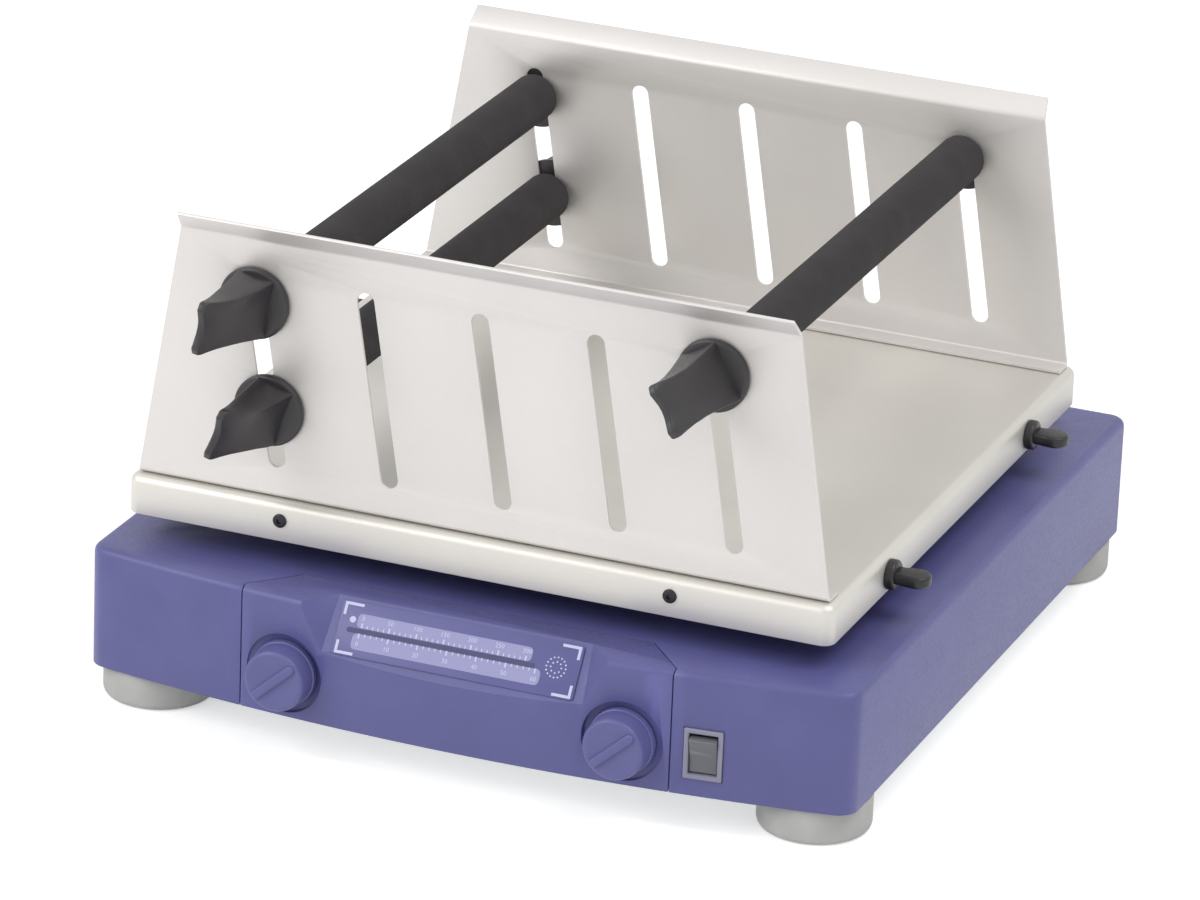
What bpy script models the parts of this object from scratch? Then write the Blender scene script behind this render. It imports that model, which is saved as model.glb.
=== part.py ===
# Reciprocal shaker with a roller rack for flasks.
# Metres, +Z up. X runs to the right as one faces the control panel, Y to the back.
# The origin is the centre of the footprint, on the surface that the feet stand on.

import math

import bmesh
import bpy
from mathutils import Matrix, Vector

# Fits and helpers
CLEARANCE = 0.0003  # between two pieces that touch on the real machine
RUNNING_GAP = 0.0006  # between a piece that moves and what it passes
CUT_OVERRUN = 0.004  # how far a cutter runs past what it cuts
MERGE = 0.00001
ROUND_STEPS = 24
SMALL_STEPS = 16
BEND_STEPS = 3
SHARP_ANGLE = math.radians(32)
FLAT_ANGLE = math.radians(0.1)

# Housing
HOUSING_WIDTH = 0.370
HOUSING_DEPTH = 0.3754  # along the side faces
HOUSING_BOW = 0.0167  # how far the middle of the front face stands out in plan
HOUSING_HEIGHT = 0.0578
HOUSING_WALL = 0.003
HOUSING_CORNER = 0.008
HOUSING_EDGE = 0.0025
BOW_STEPS = 20

# Feet and base plate
FOOT_HEIGHT = 0.0172
FOOT_DIAMETER = 0.0516
FOOT_INSET_X = 0.0253
FOOT_INSET_Y = 0.0233
FOOT_ROUND = 0.003
FOOT_BOSS_DIAMETER = 0.034
PLATE_LIFT = 0.0004  # base plate above the rim of the housing
PLATE_THICKNESS = 0.002

# Control panel
PANEL_WIDTH = 0.207
PANEL_SEAM = 0.0006
TAB_REACH = 0.0252  # how far the panel reaches back over the top
TAB_NARROWING = 0.019
FIELD_LOW = 0.034  # lower edge of the sloping field, above the bottom of the panel
FIELD_LOW_BACK = 0.0012  # behind the foremost point of the front face
FIELD_TOP_BACK = 0.0169
FIELD_MARGIN = 0.0405  # from the side of the panel to the lower corner of the field
FIELD_NARROWING = 0.002  # at each side, from the lower edge of the field to the upper
FACET_SPREAD = 0.012  # how much further out a side facet reaches at the top edge
FOIL_THICKNESS = 0.0004
FOIL_MARGIN_SIDE = 0.003
FOIL_MARGIN_END = 0.0010

# Control knobs
KNOB_INSET = 0.0221  # centre from the side of the panel
KNOB_LIFT = 0.0208  # centre above the bottom of the panel
KNOB_DIAMETER = 0.031
KNOB_NARROWING = 0.001
KNOB_REACH = 0.0118  # face of the knob in front of the panel
KNOB_EDGE = 0.0012
POINTER_HEIGHT = 0.0012
POINTER_WIDTH = 0.0042
POINTER_LENGTH = 0.026
POINTER_TURN = math.radians(42)
RECESS_DIAMETER = 0.0375
RECESS_DEPTH = 0.0026
SHAFT_DIAMETER = 0.006
POTENTIOMETER_DIAMETER = 0.017
POTENTIOMETER_DEPTH = 0.0085
BOARD_THICKNESS = 0.0016
BOARD_BORDER = 0.0166  # outside the shafts of the knobs
BOARD_ROOM = 0.0014  # above the board

# Power switch
SWITCH_GAP = 0.0061  # between the side of the panel and the switch
SWITCH_LIFT = 0.0203
SWITCH_WIDTH = 0.0177
SWITCH_HEIGHT = 0.0238
SWITCH_PROUD = 0.0009
SWITCH_DEPTH = 0.016
SWITCH_BEZEL = 0.0022
ROCKER_POCKET = 0.0145
ROCKER_THICKNESS = 0.0076
ROCKER_DISH = 0.0013
ROCKER_PIVOT_BACK = 0.0032
ROCKER_TILT = math.radians(12)

# Mains inlet
INLET_INSET = 0.065  # centre from the side of the housing
INLET_LIFT = 0.028
INLET_WIDTH = 0.031
INLET_HEIGHT = 0.024
INLET_DEPTH = 0.022
INLET_FLANGE = 0.0045
INLET_FLANGE_THICKNESS = 0.0018
SOCKET_WIDTH = 0.0245
SOCKET_HEIGHT = 0.0168
SOCKET_DEPTH = 0.016
SOCKET_CORNER = 0.004
BLADE_WIDTH = 0.002
BLADE_HEIGHT = 0.004
BLADE_LENGTH = 0.008
BLADE_SPACING = 0.007
BLADE_DROP = 0.002

# Guides and carriage
STROKE = 0.020
TABLE_FORWARD = 0.004  # centre of the table in front of the centre of the side faces
TABLE_LEFT = 0.0045  # centre of the table and its drive to the left of the housing's centre
GUIDE_DIAMETER = 0.010
BEARING_SPACING = 0.116
BEARING_LENGTH = 0.030
BEARING_WIDTH = 0.028
BEARING_HEIGHT = 0.020
GUIDE_BLOCK_LENGTH = 0.018
GUIDE_BLOCK_ROOM = 0.018  # between a bearing at the end of its stroke and the block
CARRIAGE_THICKNESS = 0.003
CARRIAGE_ROOM = 0.0087  # between the carriage plate and the inside of the top
CARRIAGE_BORDER = 0.006
POST_DIAMETER = 0.016
POST_ROOM = 0.002

# Crank drive
CRANK_OFFSET_X = 0.052
CRANK_WHEEL_DIAMETER = 0.070
CRANK_WHEEL_THICKNESS = 0.0078
CRANK_HUB_ROOM = 0.003
SPINDLE_DIAMETER = 0.010
SPINDLE_FLANGE_DIAMETER = 0.030
SPINDLE_FLANGE_THICKNESS = 0.003
CRANK_PIN_DIAMETER = 0.006
GROOVE_DEPTH = 0.003
GROOVE_RIM = 0.0018
BELT_THICKNESS = 0.0022
ROD_LENGTH = 0.090
ROD_THICKNESS = 0.005
ROD_WIDTH = 0.010
ROD_EYE_DIAMETER = 0.016
ROD_LIFT = 0.0006
WRIST_PIN_DIAMETER = 0.008
WRIST_GAP = 0.0005
MOTOR_DIAMETER = 0.050
MOTOR_CORNER = 0.002
MOTOR_ROOM_TOP = 0.005
MOTOR_ROOM_BACK = 0.029
MOTOR_ROOM_FRONT = 0.0137  # between the motor and the carriage
MOTOR_PULLEY_DIAMETER = 0.030
MOTOR_SHAFT_DIAMETER = 0.008
BRACKET_WIDTH = 0.066
BRACKET_LENGTH = 0.052
BRACKET_THICKNESS = 0.003
BRACKET_ROOM = 0.003

# Table and tray
TABLE_LIFT = 0.015  # lower edge of the table above the housing
TABLE_RIM_HEIGHT = 0.0139
TABLE_THICKNESS = 0.005
TABLE_RIM = 0.005
TABLE_CORNER = 0.006
TRAY_WIDTH = 0.340
TRAY_DEPTH = 0.334
TRAY_LIP = 0.0184
TRAY_SHEET = 0.0015
TRAY_CORNER = 0.006
TRAY_BEND = 0.004
TRAY_TABLE_ROOM = 0.0035  # between the lip and the rim of the table
LIP_SCREW_OFFSET_X = 0.094
LIP_SCREW_DROP = 0.0085
LIP_SCREW_HEAD = 0.0065
LIP_SCREW_PROUD = 0.0012
LIP_SCREW_SHANK = 0.004

# Clamp screws in the side lips of the tray
CLAMP_OFFSET_Y = 0.095
CLAMP_DROP = 0.0100
CLAMP_STUD = 0.005
CLAMP_COLLAR = 0.014
CLAMP_COLLAR_THICKNESS = 0.0042
CLAMP_REACH = 0.020  # end of the grip outside the lip
CLAMP_GRIP_WIDTH = 0.013
CLAMP_GRIP_THICKNESS = 0.0055
CLAMP_GRIP_EDGE = 0.001

# Rack walls
WALL_INSET = 0.0045  # outer face of a wall inside the edge of the tray
WALL_SHEET = 0.0015
WALL_SIDE_MARGIN = 0.0036  # from the side of the tray to the lower corner of a wall
WALL_NARROWING = 0.0191  # at each side, from the foot of a wall to its top
WALL_HEIGHT = 0.1212  # from the floor of the tray to the bend of the strip
WALL_FOOT = 0.012
WALL_BEND = 0.0025
STRIP_OUT = 0.0070
STRIP_UP = 0.0080
SLOT_MARGIN = 0.0376  # from the side of the wall's top to the middle of its outer slot, unshifted
SLOT_SHIFT_X = 0.0047
SLOT_LOW_MARGIN = 0.015  # from the floor of the tray to the lower end of a slot
SLOT_TOP_MARGIN = 0.0162  # from the upper end of a slot to the bend of the strip
SLOT_WIDTH = 0.0083
SLOT_LEAN = math.radians(9.5)

# Rollers and their wing knobs
ROLLER_DIAMETER = 0.023
ROLLER_END_ROOM = 0.002
ROLLER_EDGE = 0.0015
ROLLER_ROD_DIAMETER = 0.012
STUD_DIAMETER = 0.0064
STUD_REACH = 0.012
WING_DISC_DIAMETER = 0.0336
WING_DISC_THICKNESS = 0.003
WING_DISC_EDGE = 0.001
WING_REACH = 0.0465  # ends of the two horns outside the wall
WING_WIDTH = 0.026
WING_THICKNESS = 0.018  # at its foot

# Angle of each pair of wing knobs about Y, as they were tightened
WING_TURNS = {
    "upper_left": math.radians(172),
    "lower_left": math.radians(162.5),
    "right": math.radians(209),
}

# The slot that each roller stands in, and its share of the way from the middle of the slot
# to its upper end
ROLLER_PLACE_SHARES = {
    "upper_left": (0, 0.776),
    "lower_left": (0, -0.436),
    "right": (4, 0.898),
}
SLOT_COUNT = 5

# The grip of a wing knob from its side, up its scooped face and down its upright one:
# shares of its thickness from the axis, and of its height
WING_SIDE_SHARES = (
    (-0.50, 0.00),
    (-0.38, 0.26),
    (-0.183, 0.53),
    (0.05, 0.76),
    (0.21, 0.92),
    (0.29, 1.00),
    (0.46, 1.00),
    (0.45, 0.93),
    (0.46, 0.80),
    (0.505, 0.53),
    (0.50, 0.00),
)
# Half of the grip from its front, from its foot to the dip between its two horns:
# shares of its half width and of its height
WING_FRONT_SHARES = (
    (1.00, 0.00),
    (0.91, 0.27),
    (0.87, 0.53),
    (0.89, 0.76),
    (0.965, 0.87),
    (0.975, 0.93),
    (0.90, 0.985),
    (0.78, 1.00),
    (0.62, 0.985),
    (0.40, 0.945),
    (0.00, 0.925),
)

# Places worked out from the sizes above
housing_top = FOOT_HEIGHT + HOUSING_HEIGHT
hollow_top = housing_top - HOUSING_WALL
half_depth = HOUSING_DEPTH / 2
plate_bottom = FOOT_HEIGHT + PLATE_LIFT
plate_top = plate_bottom + PLATE_THICKNESS
floor_inside = plate_top + CLEARANCE
table_y = -TABLE_FORWARD
carriage_top = hollow_top - CARRIAGE_ROOM
carriage_bottom = carriage_top - CARRIAGE_THICKNESS
bearing_top = carriage_bottom - CLEARANCE
guide_z = bearing_top - BEARING_HEIGHT / 2
table_bottom = housing_top + TABLE_LIFT
table_top = table_bottom + TABLE_RIM_HEIGHT
tray_floor = table_top + CLEARANCE + TRAY_SHEET
slot_low_z = tray_floor + SLOT_LOW_MARGIN + SLOT_WIDTH / 2
slot_high_z = tray_floor + WALL_HEIGHT - SLOT_TOP_MARGIN - SLOT_WIDTH / 2
slot_centre_z = (slot_low_z + slot_high_z) / 2
slot_length = (slot_high_z - slot_low_z) / math.cos(SLOT_LEAN) + SLOT_WIDTH
wall_face = TRAY_DEPTH / 2 - WALL_INSET
wall_bottom_width = TRAY_WIDTH - 2 * WALL_SIDE_MARGIN
wall_top_width = wall_bottom_width - 2 * WALL_NARROWING
slot_pitch = (wall_top_width - 2 * SLOT_MARGIN) / (SLOT_COUNT - 1)
motor_y = half_depth - HOUSING_WALL - MOTOR_ROOM_BACK - BRACKET_LENGTH / 2
carriage_rear = motor_y - MOTOR_DIAMETER / 2 - MOTOR_ROOM_FRONT
guide_spacing = 2 * (carriage_rear - CARRIAGE_BORDER - BEARING_WIDTH / 2 - table_y)
wheel_bottom = floor_inside + SPINDLE_FLANGE_THICKNESS + CLEARANCE
wheel_top = wheel_bottom + CRANK_WHEEL_THICKNESS
rod_bottom = wheel_top + ROD_LIFT
rod_top = rod_bottom + ROD_THICKNESS
crank_radius = STROKE / 2
wrist_x = -CRANK_OFFSET_X + math.sqrt(ROD_LENGTH**2 - crank_radius**2)
knob_x = PANEL_WIDTH / 2 - KNOB_INSET
knob_z = FOOT_HEIGHT + KNOB_LIFT
switch_x = PANEL_WIDTH / 2 + SWITCH_GAP + SWITCH_WIDTH / 2
inlet_x = HOUSING_WIDTH / 2 - INLET_INSET
field_width = PANEL_WIDTH - 2 * FIELD_MARGIN
field_top_width = field_width - 2 * FIELD_NARROWING
field_low_z = FOOT_HEIGHT + FIELD_LOW


def bow_y(x):
    """Y of the front face at this x, from the centre of the side faces."""
    return -half_depth - HOUSING_BOW * (1 - (2 * x / HOUSING_WIDTH) ** 2)


def bow_turn(x):
    """Angle of the front face at this x, about Z."""
    return math.atan(HOUSING_BOW * 8 * x / HOUSING_WIDTH**2)


knob_face_y = bow_y(knob_x)
wing_end = wall_face + WING_REACH
foremost = min(knob_face_y - KNOB_REACH - POINTER_HEIGHT, table_y - wing_end)
rearmost = max(
    half_depth - FOOT_INSET_Y + FOOT_DIAMETER / 2,
    half_depth + CLEARANCE + INLET_FLANGE_THICKNESS,
    table_y + wing_end,
)
centring = -(foremost + rearmost) / 2
clamp_end = TRAY_WIDTH / 2 + CLAMP_REACH
leftmost = min(-HOUSING_WIDTH / 2, -TABLE_LEFT - clamp_end)
rightmost = max(HOUSING_WIDTH / 2, -TABLE_LEFT + clamp_end)
centring_x = -(leftmost + rightmost) / 2

for old in list(bpy.data.objects):
    bpy.data.objects.remove(old)

shaker = bpy.data.collections.new("reciprocal_shaker")
cutters = bpy.data.collections.new("cutters")
bpy.context.scene.collection.children.link(shaker)
bpy.context.scene.collection.children.link(cutters)

plan_centre = bpy.data.objects.new("plan_centre", None)
plan_centre.location = (centring_x, centring, 0)
shaker.objects.link(plan_centre)
table_centre = bpy.data.objects.new("table_centre", None)
table_centre.location = (-TABLE_LEFT, 0, 0)
table_centre.parent = plan_centre
shaker.objects.link(table_centre)
carrier = plan_centre  # what new objects are placed from

# Colour, roughness and metallic value of each finish
FINISHES = {
    "blue_plastic": ((0.145, 0.145, 0.42), 0.45, 0.0),
    "dark_foil": ((0.10, 0.10, 0.30), 0.30, 0.0),
    "switch_grey": ((0.12, 0.12, 0.14), 0.40, 0.0),
    "black_plastic": ((0.055, 0.052, 0.055), 0.50, 0.0),
    "black_foam": ((0.050, 0.046, 0.043), 0.95, 0.0),
    "grey_rubber": ((0.44, 0.44, 0.42), 0.75, 0.0),
    "stainless": ((0.72, 0.70, 0.68), 0.32, 1.0),
    "steel": ((0.55, 0.55, 0.56), 0.35, 1.0),
    "aluminium": ((0.66, 0.67, 0.68), 0.45, 1.0),
    "zinc_plate": ((0.52, 0.54, 0.55), 0.50, 1.0),
    "belt_rubber": ((0.03, 0.03, 0.03), 0.80, 0.0),
    "circuit_green": ((0.02, 0.12, 0.05), 0.50, 0.0),
    "dark_screw": ((0.09, 0.09, 0.10), 0.40, 1.0),
}


def give_material(obj, finish):
    colour, roughness, metallic = FINISHES[finish]
    material = bpy.data.materials.new(obj.name)
    material.use_nodes = True
    shader = material.node_tree.nodes["Principled BSDF"]
    shader.inputs["Base Color"].default_value = (*colour, 1.0)
    shader.inputs["Roughness"].default_value = roughness
    shader.inputs["Metallic"].default_value = metallic
    obj.data.materials.clear()
    obj.data.materials.append(material)


def new_object(name, mesh, group):
    mesh.name = name
    mesh.shade_smooth()
    mesh.set_sharp_from_angle(angle=SHARP_ANGLE)
    obj = bpy.data.objects.new(name, mesh)
    group.objects.link(obj)
    obj.parent = carrier
    return obj


def part(name, mesh, finish, place=(0, 0, 0), turn=(0, 0, 0)):
    obj = new_object(name, mesh, shaker)
    obj.location = place
    obj.rotation_euler = turn
    give_material(obj, finish)
    return obj


def helper(name, mesh, place=(0, 0, 0), turn=(0, 0, 0)):
    obj = new_object(name, mesh, cutters)
    obj.location = place
    obj.rotation_euler = turn
    obj.hide_render = True
    obj.display_type = "WIRE"
    return obj


def combine(obj, operation, *others):
    for other in others:
        modifier = obj.modifiers.new(f"{operation.lower()} {other.name}", "BOOLEAN")
        modifier.operation = operation
        modifier.solver = "EXACT"
        modifier.object = other


def mesh_of(bm):
    mesh = bpy.data.meshes.new("shape")
    bm.to_mesh(mesh)
    bm.free()
    return mesh


# Turn a prism from the XY plane, with its first axis along X or along Y and its second up
ALONG_XZ = Matrix.Rotation(math.pi / 2, 4, "X")
ALONG_YZ = Matrix(((0, 0, 1, 0), (1, 0, 0, 0), (0, 1, 0, 0), (0, 0, 0, 1)))


def evaluated_mesh(obj):
    """The mesh that this object's curve or modifiers make, with the object removed."""
    bpy.context.scene.collection.objects.link(obj)
    graph = bpy.context.evaluated_depsgraph_get()
    mesh = bpy.data.meshes.new_from_object(obj.evaluated_get(graph))
    bpy.data.objects.remove(obj)
    return mesh


def box_mesh(width, depth, height, middle=(0, 0, 0)):
    bm = bmesh.new()
    bmesh.ops.create_cube(bm, size=1)
    bmesh.ops.scale(bm, vec=(width, depth, height), verts=bm.verts)
    bmesh.ops.translate(bm, vec=middle, verts=bm.verts)
    return mesh_of(bm)


def cylinder_mesh(diameter, low, high, steps=SMALL_STEPS):
    """A cylinder along Z."""
    bm = bmesh.new()
    middle = Matrix.Translation((0, 0, (low + high) / 2))
    bmesh.ops.create_cone(
        bm,
        cap_ends=True,
        segments=steps,
        radius1=diameter / 2,
        radius2=diameter / 2,
        depth=high - low,
        matrix=middle,
    )
    return mesh_of(bm)


def prism_mesh(loops, low, high, top_round=0, bottom_round=0, steps=BEND_STEPS):
    """Flat outlines filled and raised from low to high, with rounded rims."""
    curve = bpy.data.curves.new("outline", "CURVE")
    curve.dimensions = "2D"
    curve.fill_mode = "BOTH"
    curve.extrude = (high - low) / 2
    for loop in loops:
        spline = curve.splines.new("POLY")
        spline.points.add(len(loop) - 1)
        for point, (x, y) in zip(spline.points, loop):
            point.co = (x, y, 0, 1)
        spline.use_cyclic_u = True
    mesh = evaluated_mesh(bpy.data.objects.new("outline", curve))
    bpy.data.curves.remove(curve)
    bm = bmesh.new()
    bm.from_mesh(mesh)
    bpy.data.meshes.remove(mesh)
    bmesh.ops.remove_doubles(bm, verts=bm.verts, dist=MERGE)
    bmesh.ops.dissolve_limit(bm, angle_limit=FLAT_ANGLE, verts=bm.verts, edges=bm.edges)
    bmesh.ops.translate(bm, vec=(0, 0, (low + high) / 2), verts=bm.verts)
    for level, radius in ((high, top_round), (low, bottom_round)):
        if radius:
            round_rim(bm, level, radius, steps)
    bmesh.ops.recalc_face_normals(bm, faces=bm.faces)
    return mesh_of(bm)


def round_rim(bm, level, radius, steps):
    rim = [
        edge
        for edge in bm.edges
        if all(abs(vert.co.z - level) < MERGE for vert in edge.verts)
        and edge.calc_face_angle(0) > SHARP_ANGLE
    ]
    bmesh.ops.bevel(
        bm,
        geom=rim,
        offset=radius,
        offset_type="OFFSET",
        segments=steps,
        profile=0.5,
        affect="EDGES",
    )


def turned_mesh(profile, steps=ROUND_STEPS, ring=False):
    """Points of radius and height, from the top down the outer side, turned about Z."""
    bm = bmesh.new()
    verts = [bm.verts.new((radius, 0, height)) for radius, height in profile]
    for first, second in zip(verts, verts[1:]):
        bm.edges.new((first, second))
    if ring:
        bm.edges.new((verts[-1], verts[0]))
    obj = bpy.data.objects.new("profile", mesh_of(bm))
    screw = obj.modifiers.new("turn", "SCREW")
    screw.axis = "Z"
    screw.steps = steps
    screw.render_steps = steps
    screw.use_merge_vertices = True
    screw.merge_threshold = MERGE
    return evaluated_mesh(obj)


def arc(centre_x, centre_y, radius, start, end, steps):
    """Points on an arc, with both its ends."""
    return [
        (
            centre_x + radius * math.cos(start + (end - start) * i / steps),
            centre_y + radius * math.sin(start + (end - start) * i / steps),
        )
        for i in range(steps + 1)
    ]


def filleted(points, radius, steps=BEND_STEPS, closed=True, only=None):
    """A polyline with its corners rounded. only names the corners by their index."""
    rounded = []
    for i, here in enumerate(points):
        at_end = not closed and i in (0, len(points) - 1)
        if at_end or radius <= 0 or (only is not None and i not in only):
            rounded.append(tuple(here))
            continue
        corner = Vector(here)
        before = (Vector(points[i - 1]) - corner).normalized()
        after = (Vector(points[(i + 1) % len(points)]) - corner).normalized()
        half = before.angle(after) / 2
        bisector = (before + after).normalized()
        centre = corner + bisector * (radius / math.sin(half))
        start = corner + before * (radius / math.tan(half)) - centre
        sweep = start.angle_signed(corner + after * (radius / math.tan(half)) - centre)
        for step in range(steps + 1):
            angle = math.atan2(start.y, start.x) - sweep * step / steps
            rounded.append(
                (centre.x + radius * math.cos(angle), centre.y + radius * math.sin(angle))
            )
    return rounded


def rectangle(width, depth, corner=0, centre=(0, 0)):
    x, y = centre
    corners = [
        (x - width / 2, y - depth / 2),
        (x + width / 2, y - depth / 2),
        (x + width / 2, y + depth / 2),
        (x - width / 2, y + depth / 2),
    ]
    return filleted(corners, corner)


def stadium(length, width, steps=SMALL_STEPS // 2):
    """An outline with round ends, its long way along X."""
    half = (length - width) / 2
    quarter = math.pi / 2
    return arc(half, 0, width / 2, -quarter, quarter, steps) + arc(
        -half, 0, width / 2, quarter, 3 * quarter, steps
    )


def housing_outline(inset, corner_steps=BEND_STEPS + 1):
    """The plan of the housing, moved in by this much all round."""
    half_width = HOUSING_WIDTH / 2 - inset
    rear = half_depth - inset
    front = [
        (half_width * share, bow_y(half_width * share) + inset)
        for share in (2 * i / BOW_STEPS - 1 for i in range(BOW_STEPS + 1))
    ]
    points = front + [(half_width, rear), (-half_width, rear)]
    corners = (0, BOW_STEPS, BOW_STEPS + 1, BOW_STEPS + 2)
    radius = max(HOUSING_CORNER - inset, HOUSING_WALL)
    return filleted(points, radius, corner_steps, only=corners)


def panel_plan(grow):
    """The plan of the control panel: the front strip and the tab over the top."""
    half_width = PANEL_WIDTH / 2 + grow
    side_y = bow_y(PANEL_WIDTH / 2)
    front = -half_depth - HOUSING_BOW - CUT_OVERRUN
    step_y = side_y + HOUSING_WALL + PANEL_SEAM
    tab_half = half_width - TAB_NARROWING
    return [
        (-half_width, front),
        (half_width, front),
        (half_width, step_y),
        (tab_half, side_y + TAB_REACH + grow),
        (-tab_half, side_y + TAB_REACH + grow),
        (-half_width, step_y),
    ]


def sliced_box(width, depth, height, middle, planes):
    """A box with what lies behind each plane cut off. A plane is a point and a normal."""
    bm = bmesh.new()
    bmesh.ops.create_cube(bm, size=1)
    bmesh.ops.scale(bm, vec=(width, depth, height), verts=bm.verts)
    bmesh.ops.translate(bm, vec=middle, verts=bm.verts)
    for point, normal in planes:
        bmesh.ops.bisect_plane(
            bm,
            geom=bm.verts[:] + bm.edges[:] + bm.faces[:],
            plane_co=point,
            plane_no=normal,
            clear_inner=True,
        )
        open_edges = [edge for edge in bm.edges if edge.is_boundary]
        bmesh.ops.holes_fill(bm, edges=open_edges)
    bmesh.ops.recalc_face_normals(bm, faces=bm.faces)
    return mesh_of(bm)


# Housing, base plate and feet

form = helper(
    "housing_form",
    prism_mesh([housing_outline(0)], FOOT_HEIGHT, housing_top, top_round=HOUSING_EDGE),
)
hollow = helper(
    "housing_hollow",
    prism_mesh([housing_outline(HOUSING_WALL)], FOOT_HEIGHT - CUT_OVERRUN, hollow_top),
)
panel_space = helper(
    "panel_space",
    prism_mesh(
        [panel_plan(PANEL_SEAM / 2)],
        FOOT_HEIGHT - CUT_OVERRUN,
        housing_top + CUT_OVERRUN,
    ),
)

post_places = [
    (f"{depth_name}_{side_name}", side * BEARING_SPACING / 2, table_y + back * guide_spacing / 2)
    for depth_name, back in (("front", -1), ("rear", 1))
    for side_name, side in (("left", -1), ("right", 1))
]
post_slots = helper(
    "post_slots",
    prism_mesh(
        [
            [
                (x + slot_x, y + slot_y)
                for slot_x, slot_y in stadium(
                    POST_DIAMETER + STROKE + 2 * POST_ROOM, POST_DIAMETER + 2 * POST_ROOM
                )
            ]
            for _, x, y in post_places
        ],
        hollow_top - CUT_OVERRUN,
        housing_top + CUT_OVERRUN,
    ),
    (-TABLE_LEFT, 0, 0),
)

switch_turn = bow_turn(switch_x)
switch_z = FOOT_HEIGHT + SWITCH_LIFT
switch_place = Vector((switch_x, bow_y(switch_x), switch_z))
switch_hole = helper(
    "switch_hole",
    box_mesh(
        SWITCH_WIDTH + 2 * CLEARANCE,
        2 * SWITCH_DEPTH,
        SWITCH_HEIGHT + 2 * CLEARANCE,
    ),
    switch_place,
    (0, 0, switch_turn),
)
inlet_z = FOOT_HEIGHT + INLET_LIFT
inlet_place = (inlet_x, half_depth, inlet_z)
inlet_hole = helper(
    "inlet_hole",
    box_mesh(INLET_WIDTH + 2 * CLEARANCE, 2 * INLET_DEPTH, INLET_HEIGHT + 2 * CLEARANCE),
    inlet_place,
)

housing = part("housing", form.data.copy(), "blue_plastic")
combine(housing, "DIFFERENCE", hollow, panel_space, post_slots, switch_hole, inlet_hole)

base_plate = part(
    "base_plate",
    prism_mesh([housing_outline(HOUSING_WALL + CLEARANCE)], plate_bottom, plate_top),
    "zinc_plate",
)

foot_radius = FOOT_DIAMETER / 2
foot_top = FOOT_HEIGHT - CLEARANCE
foot_bottom_arc = arc(
    foot_radius - FOOT_ROUND, FOOT_ROUND, FOOT_ROUND, 0, -math.pi / 2, BEND_STEPS
)
foot_profile = [
    (0, plate_bottom - CLEARANCE),
    (FOOT_BOSS_DIAMETER / 2, plate_bottom - CLEARANCE),
    (FOOT_BOSS_DIAMETER / 2, foot_top),
    (foot_radius, foot_top),
    *foot_bottom_arc,
    (0, 0),
]
foot_x = HOUSING_WIDTH / 2 - FOOT_INSET_X
foot_y = half_depth - FOOT_INSET_Y
for depth_name, back in (("front", -1), ("rear", 1)):
    for side_name, side in (("left", -1), ("right", 1)):
        part(
            f"foot_{depth_name}_{side_name}",
            turned_mesh(foot_profile),
            "grey_rubber",
            (side * foot_x, back * foot_y, 0),
        )

# Control panel with its sloping field, knob recesses and shaft holes

front_most = -half_depth - HOUSING_BOW
field_low = Vector((0, front_most + FIELD_LOW_BACK, field_low_z))
field_top = Vector((0, front_most + FIELD_TOP_BACK, housing_top))
field_up = (field_top - field_low).normalized()
field_out = Vector((0, -field_up.z, field_up.y))
field_tilt = math.atan2(field_up.y, field_up.z)
facet_corner_x = field_width / 2 + FACET_SPREAD


def facet_plane(side):
    """The plane of the side facet of the field, with its normal towards the field."""
    low = Vector((side * field_width / 2, field_low.y, field_low.z))
    top = Vector((side * field_top_width / 2, field_top.y, field_top.z))
    outer = Vector((side * facet_corner_x, bow_y(facet_corner_x), housing_top))
    normal = (top - low).cross(outer - low).normalized()
    if normal.x * side > 0:
        normal.negate()
    return low, normal


notch_depth = FIELD_TOP_BACK + 2 * CUT_OVERRUN
notch_height = housing_top - field_low_z + 2 * CUT_OVERRUN + HOUSING_WALL
notch_middle = (
    0,
    front_most + FIELD_TOP_BACK - notch_depth / 2 + CUT_OVERRUN,
    housing_top + CUT_OVERRUN - notch_height / 2,
)
notch = helper(
    "field_notch",
    sliced_box(
        2 * facet_corner_x + CUT_OVERRUN,
        notch_depth,
        notch_height,
        notch_middle,
        ((field_low, field_out), facet_plane(-1), facet_plane(1)),
    ),
)
field_backing = helper(
    "field_backing",
    sliced_box(
        2 * (facet_corner_x + HOUSING_WALL),
        notch_depth + 2 * HOUSING_WALL,
        notch_height + HOUSING_WALL,
        notch_middle,
        ((field_low - field_out * HOUSING_WALL, field_out),),
    ),
)
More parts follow.
